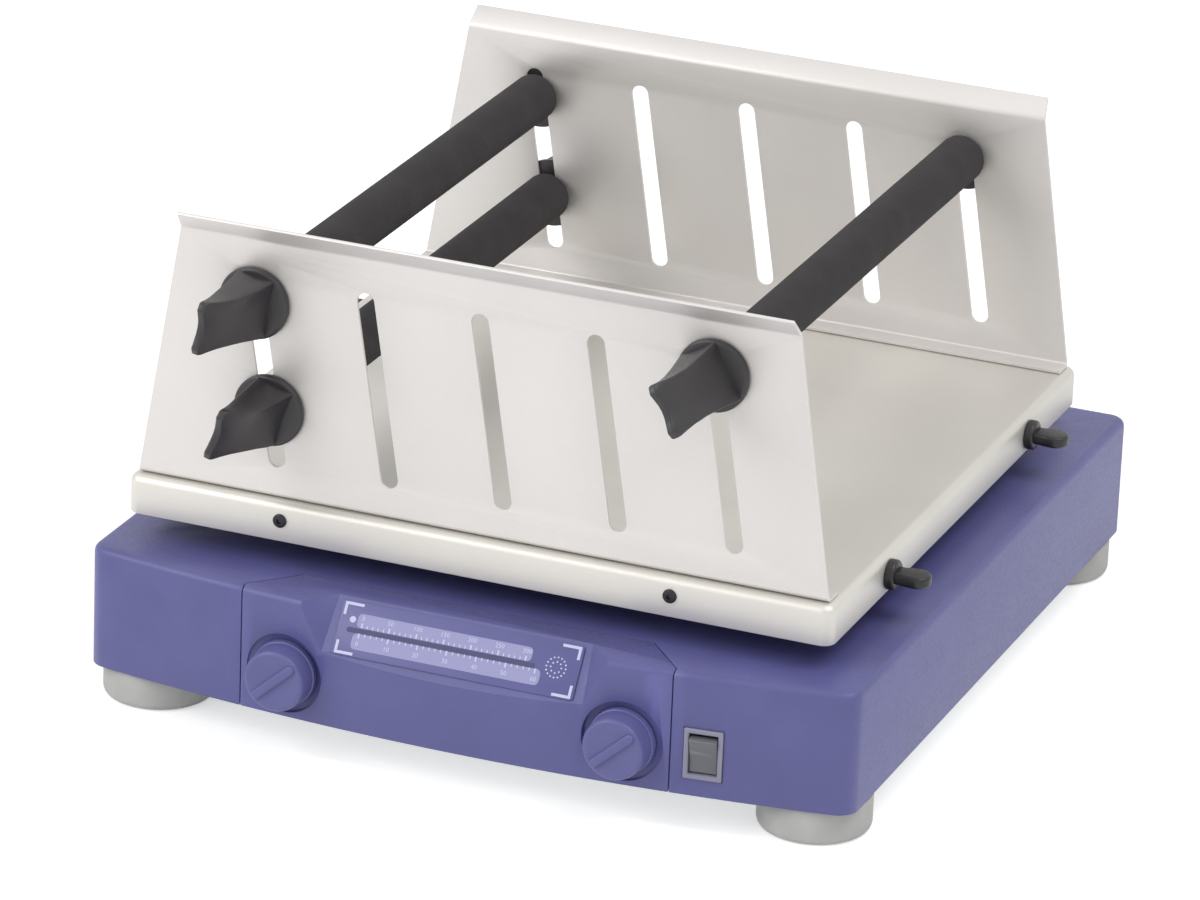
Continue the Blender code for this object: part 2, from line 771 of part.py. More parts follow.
# The backing is what stays solid behind the field, so it is taken from the hollow
panel_hollow = helper("panel_hollow", hollow.data.copy())
recess_floor = knob_face_y + RECESS_DEPTH
boss_back = recess_floor + HOUSING_WALL
upright = (math.pi / 2, 0, 0)
bosses = []
recesses = []
shaft_holes = []
knob_sides = (("speed", -1), ("timer", 1))
for knob_name, side in knob_sides:
    place = (side * knob_x, 0, knob_z)
    ahead = -front_most + CUT_OVERRUN
    bosses.append(
        helper(
            f"{knob_name}_boss",
            cylinder_mesh(RECESS_DIAMETER + 2 * HOUSING_WALL, -boss_back, ahead, ROUND_STEPS),
            place,
            upright,
        )
    )
    recesses.append(
        helper(
            f"{knob_name}_recess",
            cylinder_mesh(RECESS_DIAMETER, -recess_floor, ahead, ROUND_STEPS),
            place,
            upright,
        )
    )
    shaft_holes.append(
        helper(
            f"{knob_name}_shaft_hole",
            cylinder_mesh(SHAFT_DIAMETER + 2 * RUNNING_GAP, -boss_back - CUT_OVERRUN, ahead),
            place,
            upright,
        )
    )
    boss_room = helper(
        f"{knob_name}_boss_room",
        box_mesh(
            RECESS_DIAMETER + 2 * (HOUSING_WALL + CLEARANCE),
            2 * (boss_back + CLEARANCE - front_most),
            2 * HOUSING_WALL,
        ),
        (side * knob_x, front_most, plate_top),
    )
    combine(base_plate, "DIFFERENCE", boss_room)
combine(panel_hollow, "DIFFERENCE", field_backing, *bosses)
panel = part(
    "control_panel",
    prism_mesh([panel_plan(-PANEL_SEAM / 2)], FOOT_HEIGHT, housing_top),
    "blue_plastic",
)
combine(panel, "INTERSECT", form)
combine(panel, "DIFFERENCE", panel_hollow, notch, *recesses, *shaft_holes)

field_length = (field_top - field_low).length
foil_middle = (
    (field_low + field_top) / 2 + field_out * (CLEARANCE + FOIL_THICKNESS / 2)
)
part(
    "scale_foil",
    box_mesh(
        field_top_width - 2 * FOIL_MARGIN_SIDE,
        FOIL_THICKNESS,
        field_length - 2 * FOIL_MARGIN_END,
    ),
    "dark_foil",
    foil_middle,
    (-field_tilt, 0, 0),
)

# Control knobs, each with its shaft, and the board that carries their potentiometers

knob_radius = KNOB_DIAMETER / 2
knob_back = -recess_floor + RUNNING_GAP  # heights along the knob's axis, outwards
knob_front = -knob_face_y + KNOB_REACH
shaft_end = -boss_back - CLEARANCE
knob_top_radius = knob_radius - KNOB_NARROWING
for knob_name, side in knob_sides:
    rim_arc = arc(
        knob_top_radius - KNOB_EDGE, knob_front - KNOB_EDGE, KNOB_EDGE, math.pi / 2, 0, BEND_STEPS
    )
    knob = part(
        f"{knob_name}_knob",
        turned_mesh(
            [
                (0, knob_front),
                *rim_arc,
                (knob_radius, knob_back),
                (SHAFT_DIAMETER / 2, knob_back),
                (SHAFT_DIAMETER / 2, shaft_end),
                (0, shaft_end),
            ]
        ),
        "blue_plastic",
        (side * knob_x, 0, knob_z),
        upright,
    )
    pointer_root = knob_front - KNOB_EDGE
    pointer = helper(
        f"{knob_name}_pointer",
        prism_mesh(
            [stadium(POINTER_LENGTH, POINTER_WIDTH)],
            pointer_root,
            knob_front + POINTER_HEIGHT,
        ),
        (side * knob_x, 0, knob_z),
        (math.pi / 2, -POINTER_TURN, 0),
    )
    combine(knob, "UNION", pointer)

# The board stands upright behind the shafts and ends below the slope of the field
board_front = boss_back + CLEARANCE + POTENTIOMETER_DEPTH
slope_room = board_front - field_low.y - HOUSING_WALL / math.cos(field_tilt)
board_top = min(hollow_top, field_low_z + slope_room / math.tan(field_tilt)) - BOARD_ROOM
board_bottom = knob_z - POTENTIOMETER_DIAMETER / 2 - HOUSING_WALL
board = part(
    "control_board",
    box_mesh(2 * (knob_x + BOARD_BORDER), BOARD_THICKNESS, board_top - board_bottom),
    "circuit_green",
    (0, board_front + BOARD_THICKNESS / 2, (board_top + board_bottom) / 2),
)
for knob_name, side in knob_sides:
    potentiometer = helper(
        f"{knob_name}_potentiometer",
        cylinder_mesh(
            POTENTIOMETER_DIAMETER,
            -board_front - BOARD_THICKNESS / 2,
            -boss_back - CLEARANCE - RUNNING_GAP,
        ),
        (side * knob_x, 0, knob_z),
        upright,
    )
    combine(board, "UNION", potentiometer)

# Power switch: a frame with a blind pocket, and the rocker that tilts in it

switch_body = part(
    "switch_frame",
    box_mesh(
        SWITCH_WIDTH,
        SWITCH_DEPTH,
        SWITCH_HEIGHT,
        (0, SWITCH_DEPTH / 2 - SWITCH_PROUD, 0),
    ),
    "switch_grey",
    switch_place,
    (0, 0, switch_turn),
)
pocket_width = SWITCH_WIDTH - 2 * SWITCH_BEZEL
pocket_height = SWITCH_HEIGHT - 2 * SWITCH_BEZEL
pocket = helper(
    "rocker_pocket",
    box_mesh(
        pocket_width,
        ROCKER_POCKET + CUT_OVERRUN,
        pocket_height,
        (0, (ROCKER_POCKET - CUT_OVERRUN) / 2 - SWITCH_PROUD, 0),
    ),
    switch_place,
    (0, 0, switch_turn),
)
combine(switch_body, "DIFFERENCE", pocket)

# The rocker's outline is drawn with its front along +Y and its height along X
rocker_front = ROCKER_PIVOT_BACK + ROCKER_DISH
rocker_reach = (pocket_height / 2 - RUNNING_GAP - rocker_front * math.sin(ROCKER_TILT)) / math.cos(
    ROCKER_TILT
)
rocker_back = ROCKER_THICKNESS - rocker_front
rocker_outline = [
    (-rocker_reach, rocker_front),
    (-rocker_reach, 0),
    (-rocker_reach + rocker_back, -rocker_back),
    (rocker_reach - rocker_back, -rocker_back),
    (rocker_reach, 0),
    (rocker_reach, rocker_front),
    (0, rocker_front - ROCKER_DISH),
]
rocker_half = pocket_width / 2 - CLEARANCE
rocker_mesh = prism_mesh([rocker_outline], -rocker_half, rocker_half)
# Outline X becomes height, outline Y points out of the panel, thickness lies across
rocker_mesh.transform(Matrix(((0, 0, 1, 0), (0, -1, 0, 0), (1, 0, 0, 0), (0, 0, 0, 1))))
switch_axes = Matrix.Rotation(switch_turn, 3, "Z")
rocker_place = switch_place + switch_axes @ Vector((0, ROCKER_PIVOT_BACK, 0))
part(
    "power_rocker",
    rocker_mesh,
    "switch_grey",
    rocker_place,
    (ROCKER_TILT, 0, switch_turn),
)

# Mains inlet in the rear wall

inlet_flange_width = INLET_WIDTH + 2 * INLET_FLANGE
inlet_flange_height = INLET_HEIGHT + 2 * INLET_FLANGE
flange_middle = CLEARANCE + INLET_FLANGE_THICKNESS / 2
inlet_back = CLEARANCE + INLET_FLANGE_THICKNESS
inlet = part(
    "mains_inlet",
    box_mesh(inlet_flange_width, INLET_FLANGE_THICKNESS, inlet_flange_height, (0, flange_middle, 0)),
    "black_plastic",
    inlet_place,
)
inlet_body = helper(
    "inlet_body",
    box_mesh(
        INLET_WIDTH,
        INLET_DEPTH + flange_middle,
        INLET_HEIGHT,
        (0, (flange_middle - INLET_DEPTH) / 2, 0),
    ),
    inlet_place,
)
socket_floor = inlet_back - SOCKET_DEPTH
socket = helper(
    "inlet_socket",
    prism_mesh(
        [rectangle(SOCKET_WIDTH, SOCKET_HEIGHT, SOCKET_CORNER)],
        -inlet_back - CUT_OVERRUN,
        -socket_floor,
    ),
    inlet_place,
    upright,
)
blade_root = socket_floor - BLADE_WIDTH
blades = [
    helper(
        f"inlet_blade_{i}",
        box_mesh(
            BLADE_WIDTH,
            BLADE_LENGTH + BLADE_WIDTH,
            BLADE_HEIGHT,
            (
                (i - 1) * BLADE_SPACING,
                blade_root + (BLADE_LENGTH + BLADE_WIDTH) / 2,
                BLADE_DROP if i == 1 else -BLADE_DROP,
            ),
        ),
        inlet_place,
    )
    for i in range(3)
]
combine(inlet, "UNION", inlet_body)
combine(inlet, "DIFFERENCE", socket)
combine(inlet, "UNION", *blades)

# Guide rods and the blocks that hold them on the base plate. From here on everything is
# placed from the middle of the table

carrier = table_centre
guide_block_x = (
    (BEARING_SPACING + BEARING_LENGTH + STROKE) / 2 + GUIDE_BLOCK_ROOM + GUIDE_BLOCK_LENGTH / 2
)
guide_block_top = guide_z + GUIDE_DIAMETER / 2 + BRACKET_THICKNESS
guide_block_width = guide_spacing + BEARING_WIDTH
guide_length = 2 * guide_block_x + GUIDE_BLOCK_LENGTH
along_x = (0, math.pi / 2, 0)
guide_bores = [
    helper(
        f"guide_bore_{depth_name}",
        cylinder_mesh(
            GUIDE_DIAMETER + 2 * CLEARANCE,
            -guide_length / 2 - CUT_OVERRUN,
            guide_length / 2 + CUT_OVERRUN,
        ),
        (0, table_y + back * guide_spacing / 2, guide_z),
        along_x,
    )
    for depth_name, back in (("front", -1), ("rear", 1))
]
for side_name, side in (("left", -1), ("right", 1)):
    block = part(
        f"guide_block_{side_name}",
        box_mesh(GUIDE_BLOCK_LENGTH, guide_block_width, guide_block_top - floor_inside),
        "aluminium",
        (side * guide_block_x, table_y, (guide_block_top + floor_inside) / 2),
    )
    combine(block, "DIFFERENCE", *guide_bores)
for depth_name, back in (("front", -1), ("rear", 1)):
    part(
        f"guide_rod_{depth_name}",
        cylinder_mesh(GUIDE_DIAMETER, -guide_length / 2, guide_length / 2),
        "steel",
        (0, table_y + back * guide_spacing / 2, guide_z),
        along_x,
    )

# Carriage: a plate on four bearings, and the posts that carry the table

part(
    "carriage_plate",
    prism_mesh(
        [
            rectangle(
                BEARING_SPACING + BEARING_LENGTH + 2 * CARRIAGE_BORDER,
                guide_spacing + BEARING_WIDTH + 2 * CARRIAGE_BORDER,
                CARRIAGE_BORDER,
                (0, table_y),
            )
        ],
        carriage_bottom,
        carriage_top,
    ),
    "zinc_plate",
)
for place_name, x, y in post_places:
    bearing = part(
        f"bearing_block_{place_name}",
        box_mesh(BEARING_LENGTH, BEARING_WIDTH, BEARING_HEIGHT),
        "aluminium",
        (x, y, guide_z),
    )
    combine(bearing, "DIFFERENCE", guide_bores[0 if y < table_y else 1])
    part(
        f"table_post_{place_name}",
        cylinder_mesh(
            POST_DIAMETER,
            carriage_top + CLEARANCE,
            table_top - TABLE_THICKNESS - CLEARANCE,
        ),
        "aluminium",
        (x, y, 0),
    )

# Crank drive: motor, belt, crank wheel and connecting rod

crank_place = (-CRANK_OFFSET_X, table_y, 0)
crank_pin_place = Vector((-CRANK_OFFSET_X, table_y + crank_radius, 0))
motor_place = (-CRANK_OFFSET_X, motor_y, 0)


def pulley_profile(diameter, bottom, top):
    """The grooved rim of a pulley, from its top face down its outer side."""
    radius = diameter / 2
    groove_half = (top - bottom) / 2 - GROOVE_RIM
    middle = (top + bottom) / 2
    return [
        (radius, top),
        (radius, middle + groove_half),
        (radius - GROOVE_DEPTH, middle + groove_half),
        (radius - GROOVE_DEPTH, middle - groove_half),
        (radius, middle - groove_half),
        (radius, bottom),
    ]


spindle_radius = SPINDLE_DIAMETER / 2
spindle_top = wheel_top - ROD_LIFT
part(
    "crank_spindle",
    turned_mesh(
        [
            (0, spindle_top),
            (spindle_radius, spindle_top),
            (spindle_radius, floor_inside + SPINDLE_FLANGE_THICKNESS),
            (SPINDLE_FLANGE_DIAMETER / 2, floor_inside + SPINDLE_FLANGE_THICKNESS),
            (SPINDLE_FLANGE_DIAMETER / 2, floor_inside),
            (0, floor_inside),
        ],
        SMALL_STEPS,
    ),
    "steel",
    crank_place,
)
wheel_bore = spindle_radius + CLEARANCE
wheel = part(
    "crank_wheel",
    turned_mesh(
        [
            (wheel_bore, wheel_top),
            *pulley_profile(CRANK_WHEEL_DIAMETER, wheel_bottom, wheel_top),
            (wheel_bore, wheel_bottom),
        ],
        ring=True,
    ),
    "aluminium",
    crank_place,
)
pin_floor = wheel_bottom + CRANK_HUB_ROOM
pin_hole = helper(
    "crank_pin_hole",
    cylinder_mesh(CRANK_PIN_DIAMETER + 2 * CLEARANCE, pin_floor - CLEARANCE, rod_bottom),
    crank_pin_place,
)
combine(wheel, "DIFFERENCE", pin_hole)
part(
    "crank_pin",
    cylinder_mesh(CRANK_PIN_DIAMETER, pin_floor, rod_top + WRIST_GAP),
    "steel",
    crank_pin_place,
)

rod_direction = Vector((wrist_x + CRANK_OFFSET_X, -crank_radius))
rod_turn = math.atan2(rod_direction.y, rod_direction.x)
rod = part(
    "connecting_rod",
    prism_mesh(
        [
            rectangle(ROD_LENGTH, ROD_WIDTH, 0, (ROD_LENGTH / 2, 0)),
        ],
        rod_bottom,
        rod_top,
    ),
    "steel",
    crank_pin_place,
    (0, 0, rod_turn),
)
rod_eyes = []
rod_bores = []
rod_ends = (("crank", 0, CRANK_PIN_DIAMETER), ("wrist", ROD_LENGTH, WRIST_PIN_DIAMETER))
for end_name, along, pin_diameter in rod_ends:
    end_place = crank_pin_place + Vector(
        (along * math.cos(rod_turn), along * math.sin(rod_turn), 0)
    )
    rod_eyes.append(
        helper(
            f"{end_name}_eye",
            cylinder_mesh(ROD_EYE_DIAMETER, rod_bottom, rod_top, ROUND_STEPS),
            end_place,
        )
    )
    rod_bores.append(
        helper(
            f"{end_name}_eye_bore",
            cylinder_mesh(
                pin_diameter + 2 * CLEARANCE, rod_bottom - CUT_OVERRUN, rod_top + CUT_OVERRUN
            ),
            end_place,
        )
    )
combine(rod, "UNION", *rod_eyes)
combine(rod, "DIFFERENCE", *rod_bores)
part(
    "wrist_pin",
    cylinder_mesh(WRIST_PIN_DIAMETER, rod_top + WRIST_GAP, carriage_bottom - CLEARANCE),
    "steel",
    (wrist_x, table_y, 0),
)

bracket_top = wheel_top + BRACKET_ROOM + BRACKET_THICKNESS
motor_bottom = bracket_top + CLEARANCE
motor_top = hollow_top - MOTOR_ROOM_TOP
motor_radius = MOTOR_DIAMETER / 2
part(
    "motor",
    turned_mesh(
        [
            (0, motor_top),
            *arc(
                motor_radius - MOTOR_CORNER,
                motor_top - MOTOR_CORNER,
                MOTOR_CORNER,
                math.pi / 2,
                0,
                BEND_STEPS // 2,
            ),
            (motor_radius, motor_bottom),
            (0, motor_bottom),
        ],
        SMALL_STEPS + BEND_STEPS,
    ),
    "steel",
    motor_place,
)
bracket_outline = [
    (-BRACKET_WIDTH / 2, floor_inside),
    (-BRACKET_WIDTH / 2 + BRACKET_THICKNESS, floor_inside),
    (-BRACKET_WIDTH / 2 + BRACKET_THICKNESS, bracket_top - BRACKET_THICKNESS),
    (BRACKET_WIDTH / 2 - BRACKET_THICKNESS, bracket_top - BRACKET_THICKNESS),
    (BRACKET_WIDTH / 2 - BRACKET_THICKNESS, floor_inside),
    (BRACKET_WIDTH / 2, floor_inside),
    (BRACKET_WIDTH / 2, bracket_top),
    (-BRACKET_WIDTH / 2, bracket_top),
]
bracket = part(
    "motor_bracket",
    prism_mesh([bracket_outline], -BRACKET_LENGTH / 2, BRACKET_LENGTH / 2),
    "zinc_plate",
    motor_place,
    upright,
)
motor_shaft_hole = helper(
    "motor_shaft_hole",
    cylinder_mesh(MOTOR_SHAFT_DIAMETER + 2 * RUNNING_GAP, floor_inside, motor_bottom),
    motor_place,
)
combine(bracket, "DIFFERENCE", motor_shaft_hole)
motor_shaft_radius = MOTOR_SHAFT_DIAMETER / 2
part(
    "motor_pulley",
    turned_mesh(
        [
            (0, motor_bottom - CLEARANCE),
            (motor_shaft_radius, motor_bottom - CLEARANCE),
            (motor_shaft_radius, wheel_top),
            *pulley_profile(MOTOR_PULLEY_DIAMETER, wheel_bottom, wheel_top),
            (0, wheel_bottom),
        ],
        SMALL_STEPS + BEND_STEPS,
    ),
    "aluminium",
    motor_place,
)


def belt_loop(grow):
    """The belt's outline round both pulleys, this far outside their grooves."""
    big = CRANK_WHEEL_DIAMETER / 2 - GROOVE_DEPTH + grow
    small = MOTOR_PULLEY_DIAMETER / 2 - GROOVE_DEPTH + grow
    lean = math.asin((big - small) / (motor_y - table_y))
    around_wheel = arc(0, table_y, big, math.pi - lean, 2 * math.pi + lean, ROUND_STEPS)
    around_pulley = arc(0, motor_y, small, lean, math.pi - lean, ROUND_STEPS // 2)
    return around_wheel + around_pulley


belt_middle = (wheel_bottom + wheel_top) / 2
belt_half = (wheel_top - wheel_bottom) / 2 - GROOVE_RIM - CLEARANCE
belt_inside = 2 * CLEARANCE
part(
    "drive_belt",
    prism_mesh(
        [belt_loop(belt_inside + BELT_THICKNESS), belt_loop(belt_inside)],
        belt_middle - belt_half,
        belt_middle + belt_half,
    ),
    "belt_rubber",
    (-CRANK_OFFSET_X, 0, 0),
)

# Table, tray and the screws in its lips

tray_inner_width = TRAY_WIDTH - 2 * TRAY_SHEET
tray_inner_depth = TRAY_DEPTH - 2 * TRAY_SHEET
table_width = tray_inner_width - 2 * TRAY_TABLE_ROOM
table_depth = tray_inner_depth - 2 * TRAY_TABLE_ROOM
table_middle = (0, table_y)
table = part(
    "table_plate",
    prism_mesh(
        [rectangle(table_width, table_depth, TABLE_CORNER, table_middle)],
        table_bottom,
        table_top,
    ),
    "aluminium",
)
table_hollow = helper(
    "table_hollow",
    box_mesh(
        table_width - 2 * TABLE_RIM,
        table_depth - 2 * TABLE_RIM,
        table_top - TABLE_THICKNESS - table_bottom + CUT_OVERRUN,
        (0, table_y, (table_top - TABLE_THICKNESS + table_bottom - CUT_OVERRUN) / 2),
    ),
)
combine(table, "DIFFERENCE", table_hollow)

tray_bottom = tray_floor - TRAY_LIP
tray = part(
    "rack_tray",
    prism_mesh(
        [rectangle(TRAY_WIDTH, TRAY_DEPTH, TRAY_CORNER, table_middle)],
        tray_bottom,
        tray_floor,
        top_round=TRAY_BEND,
    ),
    "stainless",
)
tray_hollow = helper(
    "tray_hollow",
    prism_mesh(
        [
            rectangle(
                tray_inner_width, tray_inner_depth, TRAY_CORNER - TRAY_SHEET, table_middle
            )
        ],
        tray_bottom - CUT_OVERRUN,
        tray_floor - TRAY_SHEET,
        top_round=TRAY_BEND - TRAY_SHEET,
    ),
)
combine(tray, "DIFFERENCE", tray_hollow)

lip_room = TRAY_SHEET + TRAY_TABLE_ROOM - CLEARANCE
lip_screw_z = tray_floor - LIP_SCREW_DROP
lip_face = table_y - TRAY_DEPTH / 2
for side_name, side in (("left", -1), ("right", 1)):
    place = (side * LIP_SCREW_OFFSET_X, lip_face, lip_screw_z)
    part(
        f"lip_screw_{side_name}",
        turned_mesh(
            [
                (0, CLEARANCE + LIP_SCREW_PROUD),
                (LIP_SCREW_HEAD / 2 - MERGE, CLEARANCE + LIP_SCREW_PROUD),
                (LIP_SCREW_HEAD / 2, CLEARANCE),
                (LIP_SCREW_SHANK / 2, CLEARANCE),
                (LIP_SCREW_SHANK / 2, -lip_room),
                (0, -lip_room),
            ],
            SMALL_STEPS,
        ),
        "dark_screw",
        place,
        upright,
    )
    hole = helper(
        f"lip_screw_hole_{side_name}",
        cylinder_mesh(
            LIP_SCREW_SHANK + 2 * CLEARANCE, -TRAY_SHEET - CLEARANCE, CUT_OVERRUN
        ),
        place,
        upright,
    )
    combine(tray, "DIFFERENCE", hole)

clamp_z = tray_floor - CLAMP_DROP
clamp_collar_top = CLEARANCE + CLAMP_COLLAR_THICKNESS
clamp_grip_round = CLAMP_REACH - CLAMP_GRIP_WIDTH / 2
clamp_grip_foot = clamp_collar_top - CLAMP_COLLAR_THICKNESS / 2
for side_name, side in (("left", -1), ("right", 1)):
    for depth_name, back in (("front", -1), ("rear", 1)):
        place = (side * TRAY_WIDTH / 2, table_y + back * CLAMP_OFFSET_Y, clamp_z)
        turn = (0, side * math.pi / 2, 0)
        clamp = part(
            f"tray_clamp_{depth_name}_{side_name}",
            turned_mesh(
                [
                    (0, clamp_collar_top),
                    (CLAMP_COLLAR / 2 - CLAMP_GRIP_EDGE, clamp_collar_top),
                    (CLAMP_COLLAR / 2, clamp_collar_top - CLAMP_GRIP_EDGE),
                    (CLAMP_COLLAR / 2, CLEARANCE),
                    (CLAMP_STUD / 2, CLEARANCE),
                    (CLAMP_STUD / 2, -lip_room),
                    (0, -lip_room),
                ],
                SMALL_STEPS,
            ),
            "black_plastic",
            place,
            turn,
        )
        grip_mesh = prism_mesh(
            [
                [
                    (-CLAMP_GRIP_WIDTH / 2, clamp_grip_foot),
                    (CLAMP_GRIP_WIDTH / 2, clamp_grip_foot),
                    *arc(0, clamp_grip_round, CLAMP_GRIP_WIDTH / 2, 0, math.pi, SMALL_STEPS // 2),
                ]
            ],
            -CLAMP_GRIP_THICKNESS / 2,
            CLAMP_GRIP_THICKNESS / 2,
            top_round=CLAMP_GRIP_EDGE,
            bottom_round=CLAMP_GRIP_EDGE,
            steps=1,
        )
        grip_mesh.transform(ALONG_YZ)
        grip = helper(f"clamp_grip_{depth_name}_{side_name}", grip_mesh, place, turn)
        combine(clamp, "UNION", grip)
        hole = helper(
            f"clamp_hole_{depth_name}_{side_name}",
            cylinder_mesh(CLAMP_STUD + 2 * CLEARANCE, -TRAY_SHEET - CLEARANCE, CUT_OVERRUN),
            place,
            turn,
        )
        combine(tray, "DIFFERENCE", hole)

# Rack walls: one bent sheet each, cut to a trapezium and slotted

wall_bottom = tray_floor + CLEARANCE
wall_bend_z = tray_floor + WALL_HEIGHT
strip_top = wall_bend_z + STRIP_UP
taper = WALL_NARROWING / WALL_HEIGHT


def half_width_at(height):
    return wall_bottom_width / 2 - taper * (height - tray_floor)


wall_low = wall_bottom - CUT_OVERRUN
wall_high = strip_top + CUT_OVERRUN
wall_form = helper(
    "wall_form",
    prism_mesh(
        [
            [
                (-half_width_at(wall_low), wall_low),
                (half_width_at(wall_low), wall_low),
                (half_width_at(wall_high), wall_high),
                (-half_width_at(wall_high), wall_high),
            ]
        ],
        -TRAY_DEPTH,
        TRAY_DEPTH,
    ),
    (0, 0, 0),
    upright,
)


def slot_x(index, height):
    """X of a slot's centre line at this height."""
    middle = SLOT_SHIFT_X + (index - (SLOT_COUNT - 1) / 2) * slot_pitch
    return middle - (height - slot_centre_z) * math.tan(SLOT_LEAN)


def slot_outline(index):
    along = math.pi / 2 + SLOT_LEAN
    middle = slot_x(index, slot_centre_z)
    return [
        (
            middle + x * math.cos(along) - y * math.sin(along),
            slot_centre_z + x * math.sin(along) + y * math.cos(along),
        )
        for x, y in stadium(slot_length, SLOT_WIDTH, 2 * BEND_STEPS)
    ]


slots = helper(
    "wall_slots",
    prism_mesh([slot_outline(i) for i in range(SLOT_COUNT)], -TRAY_DEPTH, TRAY_DEPTH),
    (0, 0, 0),
    upright,
)


def wall_mesh(outwards):
    """The bent sheet of a wall. outwards is -1 at the front and 1 at the rear."""
    face = table_y + outwards * wall_face
    path = filleted(
        [
            (face - outwards * WALL_FOOT, wall_bottom),
            (face, wall_bottom),
            (face, wall_bend_z),
            (face + outwards * STRIP_OUT, strip_top),
        ],
        WALL_BEND,
        closed=False,
    )
    bm = bmesh.new()
    verts = [bm.verts.new((-wall_bottom_width / 2, y, z)) for y, z in path]
    edges = [bm.edges.new(pair) for pair in zip(verts, verts[1:])]
    grown = bmesh.ops.extrude_edge_only(bm, edges=edges)["geom"]
    moved = [item for item in grown if isinstance(item, bmesh.types.BMVert)]
    bmesh.ops.translate(bm, vec=(wall_bottom_width, 0, 0), verts=moved)
    obj = bpy.data.objects.new("sheet", mesh_of(bm))
    solidify = obj.modifiers.new("sheet", "SOLIDIFY")
    solidify.thickness = WALL_SHEET
    solidify.offset = outwards
    solidify.use_even_offset = True
    mesh = evaluated_mesh(obj)
    bm = bmesh.new()
    bm.from_mesh(mesh)
    bmesh.ops.recalc_face_normals(bm, faces=bm.faces)
    return mesh_of(bm)


for wall_name, outwards in (("front_wall", -1), ("rear_wall", 1)):
    wall = part(wall_name, wall_mesh(outwards), "stainless")
    combine(wall, "INTERSECT", wall_form)
    combine(wall, "DIFFERENCE", slots)

# Rollers: foam on a rod that is clamped in a slot of both walls by two wing knobs

inner_face = wall_face - WALL_SHEET
shoulder = inner_face - CLEARANCE
stud_end = wall_face + CLEARANCE + STUD_REACH
foam_half = inner_face - ROLLER_END_ROOM
foam_radius = ROLLER_DIAMETER / 2
foam_bore = ROLLER_ROD_DIAMETER / 2 + CLEARANCE
quarter = math.pi / 2
foam_profile = [
    (foam_bore, foam_half),
    *arc(foam_radius - ROLLER_EDGE, foam_half - ROLLER_EDGE, ROLLER_EDGE, quarter, 0, 2),
    *arc(foam_radius - ROLLER_EDGE, ROLLER_EDGE - foam_half, ROLLER_EDGE, 0, -quarter, 2),
    (foam_bore, -foam_half),
]
rod_profile = [
    (0, stud_end),
    (STUD_DIAMETER / 2, stud_end),
    (STUD_DIAMETER / 2, shoulder),
    (ROLLER_ROD_DIAMETER / 2, shoulder),
    (ROLLER_ROD_DIAMETER / 2, -shoulder),
    (STUD_DIAMETER / 2, -shoulder),
    (STUD_DIAMETER / 2, -stud_end),
    (0, -stud_end),
]
disc_top = CLEARANCE + WING_DISC_THICKNESS
grip_foot = CLEARANCE + WING_DISC_THICKNESS / 2
grip_height = WING_REACH - grip_foot
stud_bore = STUD_DIAMETER / 2 + CLEARANCE
disc_profile = [
    (0, disc_top),
    (WING_DISC_DIAMETER / 2 - WING_DISC_EDGE, disc_top),
    (WING_DISC_DIAMETER / 2, disc_top - WING_DISC_EDGE),
    (WING_DISC_DIAMETER / 2, CLEARANCE),
    (0, CLEARANCE),
]
grip_side = [
    (share_x * WING_THICKNESS, grip_foot + share_y * grip_height)
    for share_x, share_y in WING_SIDE_SHARES
]
half_grip_front = [
    (share_x * WING_WIDTH / 2, grip_foot + share_y * grip_height)
    for share_x, share_y in WING_FRONT_SHARES
]
grip_front = half_grip_front + [(-x, y) for x, y in reversed(half_grip_front[:-1])]


def add_wing_knob(name, place, turn, grip_turn):
    """A disc with an upright grip, which is what its side and its front have in common."""
    knob = part(name, turned_mesh(disc_profile), "black_plastic", place, turn)
    grip_turned = Matrix.Rotation(grip_turn, 4, "Z")
    side_mesh = prism_mesh([grip_side], -WING_WIDTH, WING_WIDTH)
    side_mesh.transform(grip_turned @ ALONG_XZ)
    front_mesh = prism_mesh([grip_front], -WING_THICKNESS, WING_THICKNESS)
    front_mesh.transform(grip_turned @ ALONG_YZ)
    grip = helper(f"{name}_grip", side_mesh, place, turn)
    combine(grip, "INTERSECT", helper(f"{name}_grip_front", front_mesh, place, turn))
    grip.modifiers.new("flat faces", "TRIANGULATE")
    bore = helper(
        f"{name}_bore",
        cylinder_mesh(2 * stud_bore, -CUT_OVERRUN, STUD_REACH + 2 * CLEARANCE),
        place,
        turn,
    )
    combine(knob, "UNION", grip)
    combine(knob, "DIFFERENCE", bore)


for roller_name, (slot_index, share) in ROLLER_PLACE_SHARES.items():
    z = slot_centre_z + share * (slot_high_z - slot_low_z) / 2
    x = slot_x(slot_index, z)
    part(
        f"foam_roller_{roller_name}",
        turned_mesh(foam_profile, ring=True),
        "black_foam",
        (x, table_y, z),
        upright,
    )
    part(
        f"roller_rod_{roller_name}",
        turned_mesh(rod_profile, SMALL_STEPS),
        "steel",
        (x, table_y, z),
        upright,
    )
    add_wing_knob(
        f"wing_knob_front_{roller_name}",
        (x, table_y - wall_face, z),
        upright,
        WING_TURNS[roller_name],
    )
    add_wing_knob(
        f"wing_knob_rear_{roller_name}",
        (x, table_y + wall_face, z),
        (-math.pi / 2, 0, 0),
        -WING_TURNS[roller_name],
    )
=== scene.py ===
import math

import bmesh
import bpy
from mathutils import Matrix, Vector


